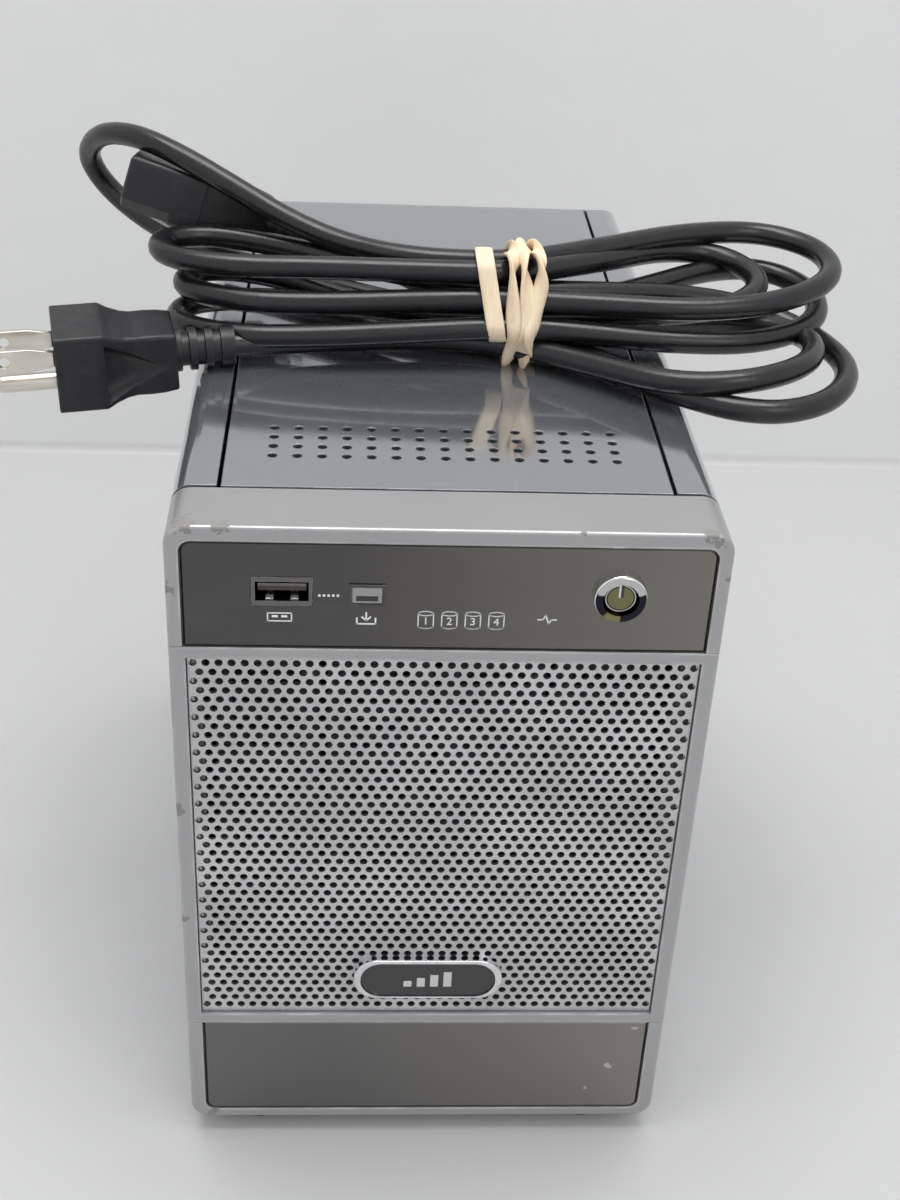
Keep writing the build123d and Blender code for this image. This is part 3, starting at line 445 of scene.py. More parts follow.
def brushed_metal(name, colour, rough, stretch, **constants):
    """Bare metal with a drawn grain along one axis."""
    surface = Surface(name, Metallic=1.0, **constants)
    grain = surface.noise(420, 3, stretch)
    shade = surface.mix(surface.remap(grain, 0.3, 0.7), scaled(colour, 0.88), scaled(colour, 1.08))
    stain = surface.remap(surface.noise(60, 5), 0.52, 0.75, 0.0, 0.45)
    surface.colour(surface.mix(stain, shade, scaled(colour, 0.62)))
    surface.roughness(surface.remap(surface.noise(130, 4), 0.3, 0.75, rough * 0.75, rough * 1.35))
    surface.bump(grain, 0.00002)
    return surface


def painted_reflection_chrome():
    """Mirror chrome of the power button with a painted reflection: bright above, dark below, a painted
    glint low down, and painted highlight and shade rings with a bright ring in the middle.
    """
    surface = Surface("painted_reflection_chrome", Metallic=1.0)
    x, z, _ = front_of("power_button_ring")
    across = surface.calc("SUBTRACT", surface.axis("X"), x)
    up = surface.calc("SUBTRACT", surface.axis("Z"), z)
    radius = surface.calc("SQRT", surface.calc("ADD", surface.calc("MULTIPLY", across, across),
                                               surface.calc("MULTIPLY", up, up)))
    height = surface.calc("DIVIDE", up, radius)
    wobble = surface.calc("MULTIPLY", surface.noise(420, 2), 0.25)
    # painted reflection: bright above the button's middle, dark below it
    sky = surface.remap(surface.calc("ADD", height, wobble), 0.38, 0.46)
    shade = surface.mix(sky, (0.022, 0.020, 0.030), (0.56, 0.56, 0.55))
    # painted glint: a dull yellow patch low down, at and left of the middle
    painted_glint = surface.calc("MULTIPLY", surface.remap(height, -0.70, -0.80), surface.remap(across, 0.0004, 0.0))
    shade = surface.mix(painted_glint, shade, (0.24, 0.22, 0.11))
    # painted highlight and shade rings by the radii they fade in between: the rim outwards, and the
    # button's own inwards
    for start, end, colour in ((0.0060, 0.00612, (0.86, 0.86, 0.85)),
                               (0.0040, 0.00392, (0.02, 0.02, 0.025)),
                               (0.00365, 0.00357, (0.60, 0.60, 0.59)),
                               (0.00342, 0.00334, (0.02, 0.02, 0.02)),
                               (0.0031, 0.00302, (0.19, 0.185, 0.095))):
        shade = surface.mix(surface.remap(radius, start, end), shade, colour)
    surface.colour(shade)
    surface.roughness(surface.remap(surface.noise(500, 3), 0.3, 0.75, 0.05, 0.14))
    surface.bump(surface.noise(300, 2), 0.00001)
    return surface


def cord_rubber():
    """Satin black jacket with light dust and soft scuffs."""
    surface = Surface("cord_rubber", Specular_IOR_Level=0.55)
    dust = surface.remap(surface.noise(210, 5), 0.55, 0.78, 0.0, 0.35)
    shade = surface.mix(surface.noise(90, 3), (0.0045, 0.0045, 0.0055), (0.009, 0.009, 0.0105))
    surface.colour(surface.mix(surface.calc("MULTIPLY", dust, 0.5), shade, (0.03, 0.03, 0.032)))
    surface.roughness(surface.remap(surface.noise(150, 5), 0.3, 0.75, 0.20, 0.36))
    surface.bump(surface.noise(1900, 3), 0.00003)
    return surface


def moulded_black():
    """Matt moulded grip of the plug and the connector."""
    surface = Surface("moulded_black", Specular_IOR_Level=0.5)
    scuffs = surface.remap(surface.noise(330, 5), 0.58, 0.72, 0.0, 0.5)
    shade = surface.mix(surface.noise(120, 4), (0.005, 0.005, 0.0065), (0.010, 0.010, 0.0125))
    shade = surface.mix(scuffs, shade, (0.026, 0.026, 0.028))
    # lighter patchy edges: partly wear, partly a painted highlight
    patchy = surface.remap(surface.noise(400, 3), 0.4, 0.6, 0.1, 0.6)
    edge_wear_and_highlight = surface.calc("MULTIPLY", surface.edges(0.0007), patchy)
    surface.colour(surface.mix(edge_wear_and_highlight, shade, (0.05, 0.05, 0.053)))
    surface.roughness(surface.remap(surface.noise(240, 5), 0.3, 0.75, 0.33, 0.5))
    surface.bump(surface.noise(2600, 3), 0.00006)
    return surface


def band_rubber():
    """Tan rubber with fine lengthwise streaks and a chalky bloom."""
    surface = Surface("band_rubber", Subsurface_Weight=0.25, Subsurface_Scale=0.0015)
    streak = surface.noise(1500, 3, (1.0, 0.12, 0.12))
    shade = surface.mix(surface.remap(streak, 0.3, 0.7), (0.80, 0.62, 0.42), (0.88, 0.73, 0.53))
    bloom = surface.remap(surface.noise(160, 5), 0.45, 0.72, 0.0, 0.6)
    surface.colour(surface.mix(bloom, shade, (0.92, 0.80, 0.62)))
    surface.roughness(surface.remap(surface.noise(300, 4), 0.3, 0.75, 0.45, 0.7))
    surface.bump(surface.calc("ADD", streak, surface.noise(700, 4)), 0.00008)
    return surface


def backdrop():
    """Pale floor and paler wall; the wall is clear to an eye behind it, so it never hides the object."""
    surface = Surface("backdrop")
    height = surface.remap(surface.axis("Z"), 0.001, 0.006)
    floor = surface.mix(surface.noise(9, 4), (0.54, 0.54, 0.54), (0.57, 0.57, 0.57))
    wall = surface.mix(surface.noise(6, 3), (0.76, 0.76, 0.755), (0.79, 0.79, 0.78))
    surface.colour(surface.mix(height, floor, wall))
    surface.roughness(0.38)
    surface.bump(surface.noise(40, 4), 0.0004)
    from_y = surface.node("SeparateXYZ", "Y", Vector=surface.node("NewGeometry", "Incoming"))
    behind = surface.calc("GREATER_THAN", from_y)
    wall_only = surface.calc("GREATER_THAN", surface.axis("Z"), 0.001)
    seen = surface.tree.nodes.new("ShaderNodeMixShader")
    surface.link(surface.calc("MULTIPLY", behind, wall_only), seen.inputs[0])
    surface.link(surface.shader.outputs[0], seen.inputs[1])
    surface.link(surface.node("BsdfTransparent", "BSDF"), seen.inputs[2])
    surface.link(seen.outputs[0], surface.tree.nodes["Material Output"].inputs["Surface"])
    return surface


def make_materials():
    """Every material, by the record's slot name or a name of its own."""
    made = {
        "silver_plastic": silver_plastic(),
        "silver_paint": silver_paint(),
        "smoked_mirror": smoked_mirror(),
        "perforated_steel": perforated_steel(),
        "cord_rubber": cord_rubber(),
        "moulded_black": moulded_black(),
        "band_rubber": band_rubber(),
        "backdrop": backdrop(),
        "bright_chrome": brushed_metal("bright_chrome", (0.80, 0.80, 0.81), 0.09, (1, 1, 1)),
        "tinned_steel": brushed_metal("tinned_steel", (0.72, 0.71, 0.69), 0.24, (0.1, 1, 1)),
        "zinc_steel": brushed_metal("zinc_steel", (0.58, 0.59, 0.61), 0.32, (1, 0.1, 1)),
        "nickel": brushed_metal("nickel", (0.74, 0.69, 0.62), 0.20, (0.1, 1, 1)),
        "magnet": common_surface("magnet", (0.16, 0.16, 0.17), 0.5, 900, 0.00006, Metallic=0.5),
        "grey_steel": common_surface("grey_steel", (0.34, 0.345, 0.355), 0.42, 1800, 0.00004,
                                     (0.55, 0.55, 0.56), Metallic=0.55, Coat_Weight=0.2),
        "painted_reflection_chrome": painted_reflection_chrome(),
        "silver_button": common_surface("silver_button", (0.36, 0.355, 0.35), 0.30, 2500, 0.00002,
                                        (0.75, 0.75, 0.75), 0.0003, Metallic=0.8),
        # the bright edge colours of these two shiny frames are a painted highlight
        "dark_chrome": common_surface("dark_chrome", (0.10, 0.098, 0.096), 0.18, 2500, 0.00002,
                                      (0.62, 0.61, 0.60), 0.0002, Metallic=1.0),
        "port_shell": common_surface("port_shell", (0.17, 0.163, 0.157), 0.24, 2500, 0.00002,
                                     (0.70, 0.69, 0.67), 0.0002, Metallic=1.0),
        "badge_black": common_surface("badge_black", (0.012, 0.012, 0.014), 0.14, 2500, 0.00001,
                                      Coat_Weight=0.6),
        "badge_silver": common_surface("badge_silver", (0.72, 0.72, 0.72), 0.22, 2500, 0.00001,
                                       Metallic=0.9),
        "print_grey": common_surface("print_grey", (0.88, 0.88, 0.87), 0.5, 2500, 0.00001),
        "port_dark": common_surface("port_dark", (0.05, 0.036, 0.03), 0.4, 2500, 0.00001),
        "dark_mark": common_surface("dark_mark", (0.03, 0.03, 0.03), 0.45, 2500, 0.00001),
        "tray_plastic": common_surface("tray_plastic", (0.055, 0.055, 0.06), 0.45, 2200, 0.00005,
                                       (0.12, 0.12, 0.125)),
        "tray_release": common_surface("tray_release", (0.06, 0.12, 0.30), 0.4, 2200, 0.00004,
                                       (0.16, 0.24, 0.45)),
        "drive_casting": common_surface("drive_casting", (0.60, 0.60, 0.61), 0.38, 800, 0.00006,
                                        (0.75, 0.75, 0.76), Metallic=0.9),
        "circuit_board": common_surface("circuit_board", (0.018, 0.11, 0.045), 0.3, 600, 0.00004,
                                        (0.25, 0.22, 0.10)),
        "black_plastic": common_surface("black_plastic", (0.022, 0.022, 0.024), 0.42, 2400, 0.00005,
                                        (0.07, 0.07, 0.075)),
        "foot_rubber": common_surface("foot_rubber", (0.02, 0.02, 0.021), 0.75, 1400, 0.00008,
                                      (0.06, 0.06, 0.06)),
        "clear_pipe": common_surface("clear_pipe", (0.85, 0.87, 0.88), 0.15, 900, 0.00001,
                                     Transmission_Weight=0.8, IOR=1.49),
    }
    return {name: surface.material for name, surface in made.items()}


# Nodes of the front whose finish differs from the rest of their material slot; the power button's colour is
# a painted reflection, and the two frames carry a painted edge highlight.
FRONT_FINISH = {
    "power_button_ring": "painted_reflection_chrome", "power_button": "painted_reflection_chrome",
    "backup_button_frame": "dark_chrome", "front_usb_port": "port_shell",
}


def finish_cad_nodes():
    """Each carried CAD node gets the detailed material of its slot."""
    for row in frame["record"]["subparts"]:
        node = NODES[row["node"]]
        material = MATERIALS[FRONT_FINISH.get(row["node"], row["material_slot"])]
        for slot in node.material_slots:
            slot.material = material


# ---- power cord ----------------------------------------------------------------------------
# Control points of the cord's centre line, from the connector to the plug.  Each stretch
# starts or ends in the waist where the rubber band holds the strands together.
CORD_ROUTE = {
    "connector_lead": [
        (-0.0235, 0.0315, 0.2125), (-0.009, 0.0265, 0.2078), (0.006, 0.006, 0.2095),
        (0.020, -0.0055, 0.2114)],
    "right_loop_middle": [
        (0.038, -0.003, 0.212), (0.060, 0.009, 0.213), (0.080, 0.024, 0.213), (0.099, 0.030, 0.2115),
        (0.111, 0.016, 0.210), (0.107, -0.005, 0.209), (0.088, -0.020, 0.209), (0.062, -0.023, 0.210),
        (0.040, -0.0205, 0.211), (0.020, -0.0185, 0.2114)],
    "left_fold_low": [
        (-0.006, -0.021, 0.2105), (-0.032, -0.022, 0.209), (-0.056, -0.020, 0.2075),
        (-0.073, -0.009, 0.2065), (-0.070, 0.007, 0.206), (-0.050, 0.011, 0.206),
        (-0.026, 0.003, 0.2075), (-0.004, -0.007, 0.210), (0.020, -0.012, 0.2114)],
    "right_loop_inner": [
        (0.042, -0.0115, 0.2125), (0.064, -0.012, 0.2135), (0.084, -0.006, 0.214), (0.094, 0.010, 0.215),
        (0.086, 0.026, 0.2165), (0.068, 0.025, 0.2185), (0.046, 0.005, 0.222), (0.020, -0.012, 0.2242)],
    "left_fold_high": [
        (-0.006, -0.0115, 0.224), (-0.030, -0.0095, 0.2235), (-0.054, -0.009, 0.223),
        (-0.074, -0.003, 0.2225), (-0.079, 0.012, 0.222), (-0.064, 0.021, 0.221),
        (-0.040, 0.015, 0.2195), (-0.014, 0.001, 0.2185), (0.020, -0.0085, 0.2178)],
    "right_loop_outer_low": [
        (0.044, -0.004, 0.216), (0.068, 0.004, 0.213), (0.090, 0.006, 0.209), (0.107, -0.006, 0.2055),
        (0.113, -0.026, 0.204), (0.102, -0.046, 0.2035), (0.082, -0.054, 0.2036), (0.060, -0.042, 0.204),
        (0.040, -0.019, 0.2046), (0.020, -0.0086, 0.205)],
    "left_fold_middle": [
        (-0.006, 0.0015, 0.205), (-0.026, 0.012, 0.206), (-0.048, 0.020, 0.210),
        (-0.067, 0.014, 0.2135), (-0.072, -0.003, 0.2145), (-0.054, -0.014, 0.215),
        (-0.028, -0.016, 0.216), (-0.004, -0.0155, 0.2172), (0.020, -0.015, 0.2178)],
    "right_loop_top": [
        (0.044, -0.0175, 0.218), (0.070, -0.020, 0.218), (0.094, -0.014, 0.2185), (0.112, 0.002, 0.2195),
        (0.113, 0.022, 0.2205), (0.097, 0.034, 0.2215), (0.072, 0.026, 0.223), (0.046, 0.008, 0.2245),
        (0.020, -0.0055, 0.2246)],
    "left_loop": [
        (-0.008, -0.002, 0.2238), (-0.0264, 0.008, 0.2238), (-0.0416, 0.0145, 0.2278),
        (-0.0552, 0.0208, 0.2336), (-0.0706, 0.0276, 0.2403), (-0.084, 0.0354, 0.2438),
        (-0.0945, 0.0455, 0.2418), (-0.101, 0.055, 0.236), (-0.1035, 0.062, 0.2285),
        (-0.099, 0.064, 0.2195), (-0.089, 0.060, 0.212), (-0.075, 0.052, 0.2068), (-0.056, 0.0385, 0.2056),
        (-0.036, 0.026, 0.2056), (-0.008, 0.0095, 0.2052), (0.020, -0.002, 0.205)],
    "right_loop_low": [
        (0.044, 0.000, 0.205), (0.068, 0.003, 0.205), (0.090, 0.002, 0.206), (0.104, -0.012, 0.208),
        (0.100, -0.032, 0.209), (0.082, -0.047, 0.210), (0.060, -0.046, 0.208), (0.040, -0.029, 0.206),
        (0.020, -0.0152, 0.2052)],
    "plug_lead": [(-0.006, -0.0125, 0.2053), (-0.031, -0.0165, 0.2053), (-0.0555, -0.0215, 0.2056)],
}


def make_cord():
    points = [point for stretch in CORD_ROUTE.values() for point in stretch]
    curve = bpy.data.curves.new("power_cord", "CURVE")
    curve.dimensions = "3D"
    curve.bevel_depth = CORD_DIAMETER / 2
    curve.bevel_resolution = 5
    curve.use_fill_caps = True
    curve.resolution_u = 8
    spline = curve.splines.new("NURBS")
    spline.points.add(len(points) - 1)
    for knot, place in zip(spline.points, points):
        knot.co = (*place, 1)
    spline.order_u = 3
    spline.use_endpoint_u = True
    curve.materials.append(MATERIALS["cord_rubber"])
    cord = bpy.data.objects.new("power_cord", curve)
    bpy.context.scene.collection.objects.link(cord)
    carry(cord, "power_cord")
    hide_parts("power_cord_hank", "power_cord_left_loop")
    return cord, points


def aimed(start, end, tip=0):
    """Matrix whose Z axis runs from start to end, with X level unless tipped and Y pointing down."""
    along = (Vector(end) - Vector(start)).normalized()
    level = Matrix.Rotation(radians(-tip), 3, along) @ along.cross(Vector((0, 0, 1))).normalized()
    down = along.cross(level)
    return Matrix.Translation(start) @ Matrix((level, down, along)).transposed().to_4x4()


def placed_rings(frame_matrix, sections):
    """Rings along an axis: (distance, half width, half height, corner, lower chamfer if any)."""
    rings = []
    for along, half_wide, half_tall, corner, *chamfer in sections:
        ring = rounded_ring(half_wide, half_tall, corner, chamfer=chamfer[0] if chamfer else None)
        rings.append([frame_matrix @ Vector((x, y, along)) for x, y in ring])
    return rings


def ribbed_sleeve(name, matrix, start, end, radius, ribs, material):
    """Strain relief: thick rings on a narrower core, open between the rings."""
    rib_height, taper, slope, roundness = 1.35 * MM, 0.12 * MM, 0.0002, 0.95
    core = radius - rib_height
    sections = [(start, core, core, core * roundness)]
    pitch = (end - start) / ribs
    for index in range(ribs):
        low = start + pitch * (index + 0.08)
        high = low + pitch * (0.95 if index == ribs - 1 else 0.55)
        rim = radius - taper * index
        for along, half in ((low, core), (low + slope, rim), (high - slope, rim), (high, core)):
            sections.append((min(along, end), half, half, half * roundness))
    return loft(name, placed_rings(matrix, sections), material)


PLUG_FACE = (-0.1015, -0.0305, 0.2044)
PLUG_END = (-0.0555, -0.0215, 0.2056)
CONNECTOR_FACE = (-0.0878, 0.037, 0.232)
CONNECTOR_END = (-0.0235, 0.0315, 0.2125)
CONNECTOR_TIP = 10.0        # degrees that its near side is tipped up


def grip_recess(along, drop):
    """Depth of the tapered finger recess in the side of the plug."""
    start, tip, middle, half = 0.0126, 0.0285, 0.0006, 0.0082
    share = (along - start) / (tip - start)
    if not 0 <= share <= 1:
        return 0.0
    across = (drop - middle) / (half * (1 - share) + 1e-6)
    return 0.0036 * (1 - share) * max(0.0, 1 - across ** 4)


def make_plug():
    """Moulded plug: square nose, pinched neck with tapered recesses and a square shoulder."""
    matrix = aimed(PLUG_FACE, PLUG_END)
    # distance from the face, half width and half height, in millimetres
    profile = [
        (0.0, 11.6, 10.1), (0.3, 11.9, 10.4), (12.3, 11.9, 10.4), (12.7, 11.8, 10.3),
        (15.0, 10.9, 9.3), (18.0, 9.9, 8.5), (20.5, 9.5, 8.2), (24.0, 9.5, 8.3),
        (27.5, 9.4, 8.2), (31.0, 9.0, 7.8), (31.4, 8.7, 7.5),
    ]
    steps = 6
    sections = []
    for (z0, wide0, tall0), (z1, wide1, tall1) in zip(profile, profile[1:]):
        for step in range(steps):
            share = step / steps
            size = [a + (b - a) * share for a, b in ((z0, z1), (wide0, wide1), (tall0, tall1))]
            sections.append([value * MM for value in size])
    sections.append([value * MM for value in profile[-1]])
    rings = []
    for along, half_wide, half_tall in sections:
        ring = []
        for x, y in rounded_ring(half_wide, half_tall, 0.0010, 34, 3):
            side_share = max(0.0, abs(x) / half_wide - 0.9) / 0.1
            x -= grip_recess(along, y) * (1 if x > 0 else -1) * side_share
            ring.append(matrix @ Vector((x, y, along)))
        rings.append(ring)
    body = loft("mains_plug_body", rings, MATERIALS["moulded_black"])
    smooth(body, 32)
    carry(body, "power_cord")
    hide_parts("mains_plug")
    length = (Vector(PLUG_END) - Vector(PLUG_FACE)).length
    sleeve = ribbed_sleeve("mains_plug_sleeve", matrix, 0.0305, length + 0.0004, 0.0058, 4,
                           MATERIALS["moulded_black"])
    smooth(sleeve, 40)
    carry(sleeve, "power_cord")
    return body, sleeve


def make_blades():
    """Two flat blades with a hole near the tip and the round earth pin."""
    matrix = aimed(PLUG_FACE, PLUG_END)
    reach, half_tall, half_thick, hole = 0.0168, 0.003175, 0.00075, 0.0015
    hole_at, half_spacing, blade_rise, pin_drop = 0.0042, 0.00635, 0.003, 0.0059
    count, pin_count = 20, 24
    solids = []
    for side in (-1, 1):
        outer, inner = [], []
        for step in range(count):
            angle = 2 * pi * (step + 0.5) / count
            direction = Vector((cos(angle), sin(angle)))
            low = reach - hole_at if direction.x > 0 else hole_at
            limit = min(low / max(abs(direction.x), 1e-6), half_tall / max(abs(direction.y), 1e-6))
            outer.append(direction * limit)
            inner.append(direction * hole)
        points, faces = [], []
        for x in (-half_thick, half_thick):
            for ring in (outer, inner):
                for along, drop in ring:
                    place = Vector((side * half_spacing + x, drop - blade_rise, along + hole_at - reach))
                    points.append(matrix @ place)
        for step in range(count):
            after = (step + 1) % count
            for first, second in ((0, 1), (1, 3), (3, 2), (2, 0)):
                a, b = first * count, second * count
                faces.append((a + step, a + after, b + after, b + step))
        solids.append((points, faces))
    turn = [2 * pi * step / pin_count for step in range(pin_count)]
    tip = ((0.0005, 2.4), (-0.0135, 2.4), (-0.0155, 2.1), (-0.0164, 1.4), (-0.0168, 0.5))
    pin_points = [matrix @ Vector((radius * MM * cos(a), radius * MM * sin(a) + pin_drop, along))
                  for along, radius in tip for a in turn]
    solids.append((pin_points, tube_faces(len(tip), pin_count)))
    blades = joined("mains_plug_blades", solids, MATERIALS["nickel"])
    smooth(blades, 40)
    bevel(blades, 0.00015)
    carry(blades, "power_cord")
    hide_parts("plug_blades")
    return blades


def make_connector():
    """Appliance connector: chamfered nose, a fine collar line, tapered body and sleeve."""
    matrix = aimed(CONNECTOR_FACE, CONNECTOR_END, CONNECTOR_TIP)
    # distance from the face, half width, half height, corner and lower chamfer, in millimetres
    sections = [
        (0.0, 10.9, 6.7, 1.0, 2.6), (0.5, 11.7, 7.5, 1.3, 3.0), (1.4, 12.0, 7.8, 1.5, 3.2),
        (14.2, 12.0, 7.8, 1.5, 3.4), (14.6, 12.0, 7.8, 1.5, 0.8), (22.6, 12.0, 7.8, 1.5, 0.8),
        (22.8, 11.7, 7.5, 1.5, 0.8), (23.2, 11.7, 7.5, 1.5, 0.8), (23.4, 12.0, 7.8, 1.7, 1.2),
        (28.0, 11.6, 7.8, 2.2, 1.6), (34.0, 10.2, 7.3, 2.4, 2.0), (40.0, 8.6, 6.7, 2.4, 2.0),
        (41.0, 7.8, 6.2, 2.4, 2.0),
    ]
    rings = placed_rings(matrix, [[value * MM for value in section] for section in sections])
    body = loft("appliance_connector_body", rings, MATERIALS["moulded_black"])
    smooth(body, 28)
    carry(body, "power_cord")
    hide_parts("appliance_connector")
    # painted shade: flat dark sheets on the face stand in for the three contact holes
    slots = []
    for x, drop in ((-0.007, -0.002), (0.0, 0.002), (0.007, -0.002)):
        ring = [(x - 0.0012, drop - 0.0022), (x + 0.0012, drop - 0.0022),
                (x + 0.0012, drop + 0.0022), (x - 0.0012, drop + 0.0022)]
        points = [matrix @ Vector((a, b, along)) for along in (-0.00005, 0.0002) for a, b in ring]
        slots.append((points, tube_faces(2, 4)))
    holes = joined("appliance_connector_hole_shade", slots, MATERIALS["dark_mark"])
    carry(holes, "power_cord")
    length = (Vector(CONNECTOR_END) - Vector(CONNECTOR_FACE)).length
    sleeve = ribbed_sleeve("appliance_connector_sleeve", matrix, 0.040, length + 0.0004, 0.0056, 7,
                           MATERIALS["moulded_black"])
    smooth(sleeve, 40)
    carry(sleeve, "power_cord")
    return body, holes, sleeve


# ---- rubber band -----------------------------------------------------------------------------
# Outermost strands in the waist, in Y and Z, once round from the lower back one.
ALL_STRANDS = [
    (-0.0020, 0.2050), (-0.0055, 0.2246), (-0.0122, 0.2244), (-0.0185, 0.2114), (-0.0152, 0.2050)]
UPPER_STRANDS = [(-0.0050, 0.2114), (-0.0055, 0.2246), (-0.0122, 0.2244), (-0.0185, 0.2114)]


def waist_path(strands, gap, steps):
    """Closed line pulled tight round the strands, as equally spaced Y, Z points."""
    radius = CORD_DIAMETER / 2 + gap
    places = [Vector(strand) for strand in strands]
    corners = []
    for before, here, after in zip(places[-1:] + places, places, places[1:] + places[:1]):
        first, second = (here - before).normalized(), (after - here).normalized()
        for step in range(9):
            edge = first.lerp(second, step / 8).normalized()
            corners.append(here + radius * Vector((edge.y, -edge.x)))
    spans = list(zip(corners, corners[1:] + corners[:1]))
    total = sum((end - start).length for start, end in spans)
    path, travelled = [], 0.0
    for start, end in spans:
        length = (end - start).length
        while len(path) < steps and total * len(path) / steps < travelled + length:
            path.append(start.lerp(end, (total * len(path) / steps - travelled) / length))
        travelled += length
    return path


def band_wrap(name, strands, gap, start_x, lean, width, thick, twists, phase, sway=0.0):
    """One closed wrap of the band: a flat ribbon that leans and sways along X and may twist."""
    steps = 200
    corners = [(-0.5, -0.5), (-0.3, -0.5), (0.3, -0.5), (0.5, -0.5),
               (0.5, 0.5), (0.3, 0.5), (-0.3, 0.5), (-0.5, 0.5)]
    path = waist_path(strands, gap, steps)
    top, bottom = max(z for _, z in path), min(z for _, z in path)
    rings = []
    for step, (y, z) in enumerate(path):
        share = step / steps
        fall = (top - z) / (top - bottom)
        x = start_x + lean * fall + sway * sin(6 * pi * share + phase)
        along = path[(step + 2) % steps] - path[step - 2]
        along = Vector((0, along.x, along.y)).normalized()
        flat = Vector((1, 0, 0))
        out = flat.cross(along).normalized()
        uneven = 0.7 * sin(4 * pi * share + 2 * phase) if twists else -phase
        turn = 2 * pi * twists * share + phase + uneven
        wide = flat * cos(turn) + out * sin(turn)
        deep = out * cos(turn) - flat * sin(turn)
        swell = 1 + (0.16 * sin(10 * pi * share + phase) if twists else 0)
        ring = []
        for across, up in corners:
            round_off = 1.0 if abs(across) < 0.4 else 0.62
            curl = 0.35 * thick * (1 - 8 * across * across) if twists else 0.0
            offset = wide * (across * width * swell) + deep * (up * thick * round_off + curl)
            ring.append(Vector((x, y, z)) + offset)
        rings.append(ring)
    wrap = loft(name, rings, MATERIALS["band_rubber"], closed=True)
    smooth(wrap, 180)
    wrap.modifiers.new("softness", "SUBSURF").render_levels = 1
    return carry(wrap, "power_cord")


def make_band():
    """One flat wrap round the upper strands and three twisted ones round them all."""
    # gap, start_x, lean, width, thick, twists, phase and sway
    flat = (0.0005, 0.0118, 0.0040, 0.0050, 0.0010, 0, 0.0)
    twisted = [
        (0.0011, 0.0192, 0.0004, 0.0044, 0.0014, 2, 0.6, 0.0003),
        (0.0016, 0.0225, 0.0008, 0.0046, 0.0015, -2, 2.2, 0.0005),
        (0.0012, 0.0264, -0.0020, 0.0048, 0.0014, 3, 4.0, 0.0005),
    ]
    wraps = [band_wrap("rubber_band_flat_wrap", UPPER_STRANDS, *flat)]
    for index, sizes in enumerate(twisted):
        wraps.append(band_wrap(f"rubber_band_twisted_wrap_{index + 1}", ALL_STRANDS, *sizes))
    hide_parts("rubber_band")
    return wraps


# ---- prints and small parts on the front -----------------------------------------------------
PRINT_DEPTH = 0.00004
DISK_ICON_X, DISK_ICON_PITCH = -0.00525, 0.00557


def rectangle(left, right, foot, top):
    return [(left, foot), (right, foot), (right, top), (left, top)]


def stroke(points, width, close=False):
    """Flat band of a given width along a line of X, Z points, as short overlapping bars."""
    overlap = 0.35
    solids = []
    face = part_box("upper_mirror_panel")[0].y
    ends = points[1:] + (points[:1] if close else [])
    for (x0, z0), (x1, z1) in zip(points, ends):
        along = Vector((x1 - x0, z1 - z0)).normalized()
        side = Vector((-along.y, along.x)) * width / 2
        tail = along * width * overlap
        start, end = Vector((x0, z0)) - tail, Vector((x1, z1)) + tail
        outline = [start + side, start - side, end - side, end + side]
        solids.append(prism(outline, face - PRINT_DEPTH, face))
    return solids


def arc_points(x, z, radius_x, radius_z, start, end, steps=12):
    angles = [radians(start + (end - start) * step / steps) for step in range(steps + 1)]
    return [(x + radius_x * cos(angle), z + radius_z * sin(angle)) for angle in angles]


def port_icon():
    """A generic socket outline with two contacts."""
    x, z = -0.0396, 0.1758
    solids = stroke(rectangle(x - 0.0028, x + 0.0028, z - 0.0011, z + 0.0011), 0.0003, close=True)
    for shift in (-0.0011, 0.0011):
        solids += stroke([(x + shift - 0.0005, z + 0.0002), (x + shift + 0.0005, z + 0.0002)], 0.0006)
    return solids


def copy_icon():
    """An arrow into a tray, beside the copy button."""
    x, z = -0.0193, 0.1757
    solids = stroke([(x, z + 0.0016), (x, z - 0.0004)], 0.0004)
    solids += stroke([(x - 0.0010, z + 0.0004), (x, z - 0.0006), (x + 0.0010, z + 0.0004)], 0.0004)
    solids += stroke([(x - 0.0022, z + 0.0001), (x - 0.0022, z - 0.0015), (x + 0.0022, z - 0.0015),
                      (x + 0.0022, z + 0.0001)], 0.0004)
    return solids


def link_dots():
    """Five dots between the port and the copy button."""
    solids = []
    for index in range(5):
        x = -0.0303 + 0.00108 * index
        solids += stroke([(x - 0.00008, 0.1819), (x + 0.00008, 0.1819)], 0.0006)
    return solids


def disk_icons():
    """A small drum for each disk."""
    solids = []
    for index in range(4):
        x, z = DISK_ICON_X + DISK_ICON_PITCH * index, 0.1755
        half, top, rise, width = 0.0018, 0.0018, 0.0006, 0.00026
        solids += stroke(arc_points(x, z + top, half, rise, 0, 360), width)
        solids += stroke([(x - half, z + top), (x - half, z - top)], width)
        solids += stroke([(x + half, z + top), (x + half, z - top)], width)
        solids += stroke(arc_points(x, z - top, half, rise, 180, 360), width)
    return solids


def activity_icon():
    """A pulse line."""
    x, z = 0.0235, 0.1760
    return stroke([(x - 0.0022, z), (x - 0.0010, z), (x - 0.0004, z + 0.0013), (x + 0.0004, z - 0.0011),
                   (x + 0.0010, z), (x + 0.0022, z)], 0.00035)


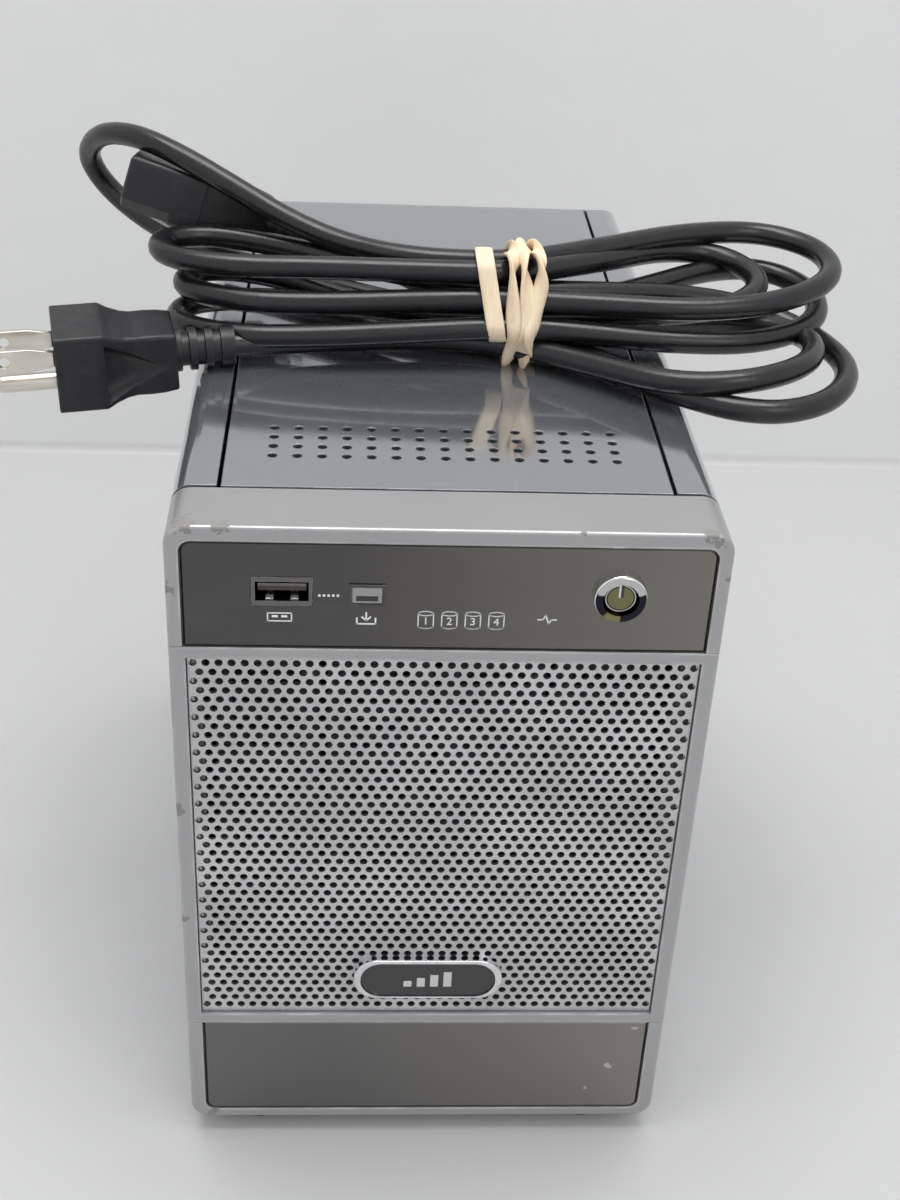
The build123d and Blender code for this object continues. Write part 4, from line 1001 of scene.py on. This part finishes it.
def make_prints():
    """The icons, and a numeral in each disk drum, all as thin raised ink."""
    solids = port_icon() + copy_icon() + link_dots() + disk_icons() + activity_icon()
    prints = joined("front_icons", solids, MATERIALS["print_grey"])
    carry(prints, "case")
    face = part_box("upper_mirror_panel")[0].y
    for index in range(4):
        text = bpy.data.curves.new("disk_numeral", "FONT")
        text.body = str(index + 1)
        text.size = 0.0029
        text.extrude = PRINT_DEPTH / 2
        text.align_x, text.align_y = "CENTER", "CENTER"
        shown = bpy.data.objects.new("disk_numeral", text)
        mesh = bpy.data.meshes.new_from_object(shown)
        place = (DISK_ICON_X + DISK_ICON_PITCH * index, face - PRINT_DEPTH / 2, 0.1751)
        mesh.transform(Matrix.Translation(place) @ Matrix.Rotation(pi / 2, 4, "X"))
        mesh.materials.clear()
        mesh.materials.append(MATERIALS["print_grey"])
        bpy.data.objects.remove(shown)
        numeral = bpy.data.objects.new(f"disk_numeral_{index + 1}", mesh)
        bpy.context.scene.collection.objects.link(numeral)
        carry(numeral, "case")


def make_power_symbol():
    """Upright bar of the power symbol: a dark bar with a painted highlight strip at its left; the painted
    highlight ring round it is in the button's colour.
    """
    x, z, face = front_of("power_button")
    # the lighter strip left of the dark bar is a painted highlight
    for name, shift, width, material in (("power_symbol_shade", 0.0003, 0.0007, "dark_mark"),
                                         ("power_symbol_painted_highlight", -0.0003, 0.0005, "badge_silver")):
        middle = x + shift
        outline = rectangle(middle - width / 2, middle + width / 2, z + 0.0002, z + 0.0036)
        bar = joined(name, [prism(outline, face - 2 * PRINT_DEPTH, face)], MATERIALS[material])
        carry(bar, "power_button")


def make_badge_mark():
    """Generic mark: four rising bars on the badge."""
    x, z, face = front_of("badge_plate")
    solids = []
    for index in range(4):
        left = x - 0.0066 + 0.0036 * index
        foot, top = z - 0.0026, z - 0.0006 + 0.0011 * index
        solids.append(prism(rectangle(left, left + 0.0022, foot, top), face - 0.00015, face))
    bars = joined("badge_mark", solids, MATERIALS["badge_silver"])
    bevel(bars, 0.00005)
    carry(bars, "door")


def make_port_details():
    """Two sprung contacts in the floor of the front port and the dark underside of its tongue."""
    x, z, face = front_of("front_usb_port")
    half_wide, sheet, floor = 0.0009, 0.0002, z - 0.0026
    profile = ((0.0006, 0.0), (0.0016, 0.0006), (0.0028, 0.0009), (0.0045, 0.0004), (0.0060, 0.0))
    solids = []
    for centre in (x - 0.0029, x + 0.0029):
        rings = []
        for depth, rise in profile:
            low = floor + rise
            rings.append([(across, face + depth, up) for across, up in
                          rectangle(centre - half_wide, centre + half_wide, low, low + sheet)])
        solids.append(([point for ring in rings for point in ring], tube_faces(len(rings), 4)))
    springs = joined("front_port_springs", solids, MATERIALS["tinned_steel"])
    carry(springs, "case")
    outline = rectangle(x - 0.00566, x + 0.00566, z - 0.00036, z + 0.0007)
    tongue = joined("front_port_tongue", [prism(outline, face + 0.00115, face + 0.0110)],
                    MATERIALS["port_dark"])
    carry(tongue, "case")


def make_button_slot():
    """Painted shade: a dark sheet over the slot in the lower part of the copy button."""
    low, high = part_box("backup_button")
    x, z, face = (low.x + high.x) / 2, low.z + 0.0013, low.y
    outline = [(x - 0.0024, z - 0.0006), (x + 0.0024, z - 0.0006),
               (x + 0.0026, z + 0.0006), (x - 0.0026, z + 0.0006)]
    slot = joined("copy_button_slot_shade", [prism(outline, face - PRINT_DEPTH, face + 0.0001)],
                  MATERIALS["dark_mark"])
    carry(slot, "backup_button")


# ---- build ---------------------------------------------------------------------------------
make_camera()
MATERIALS = make_materials()
cord, route = make_cord()
plug_pieces = make_plug()
blades = make_blades()
connector_pieces = make_connector()
wraps = make_band()

finish_cad_nodes()
make_prints()
make_power_symbol()
make_badge_mark()
make_port_details()
make_button_slot()
make_lights()
make_stage()
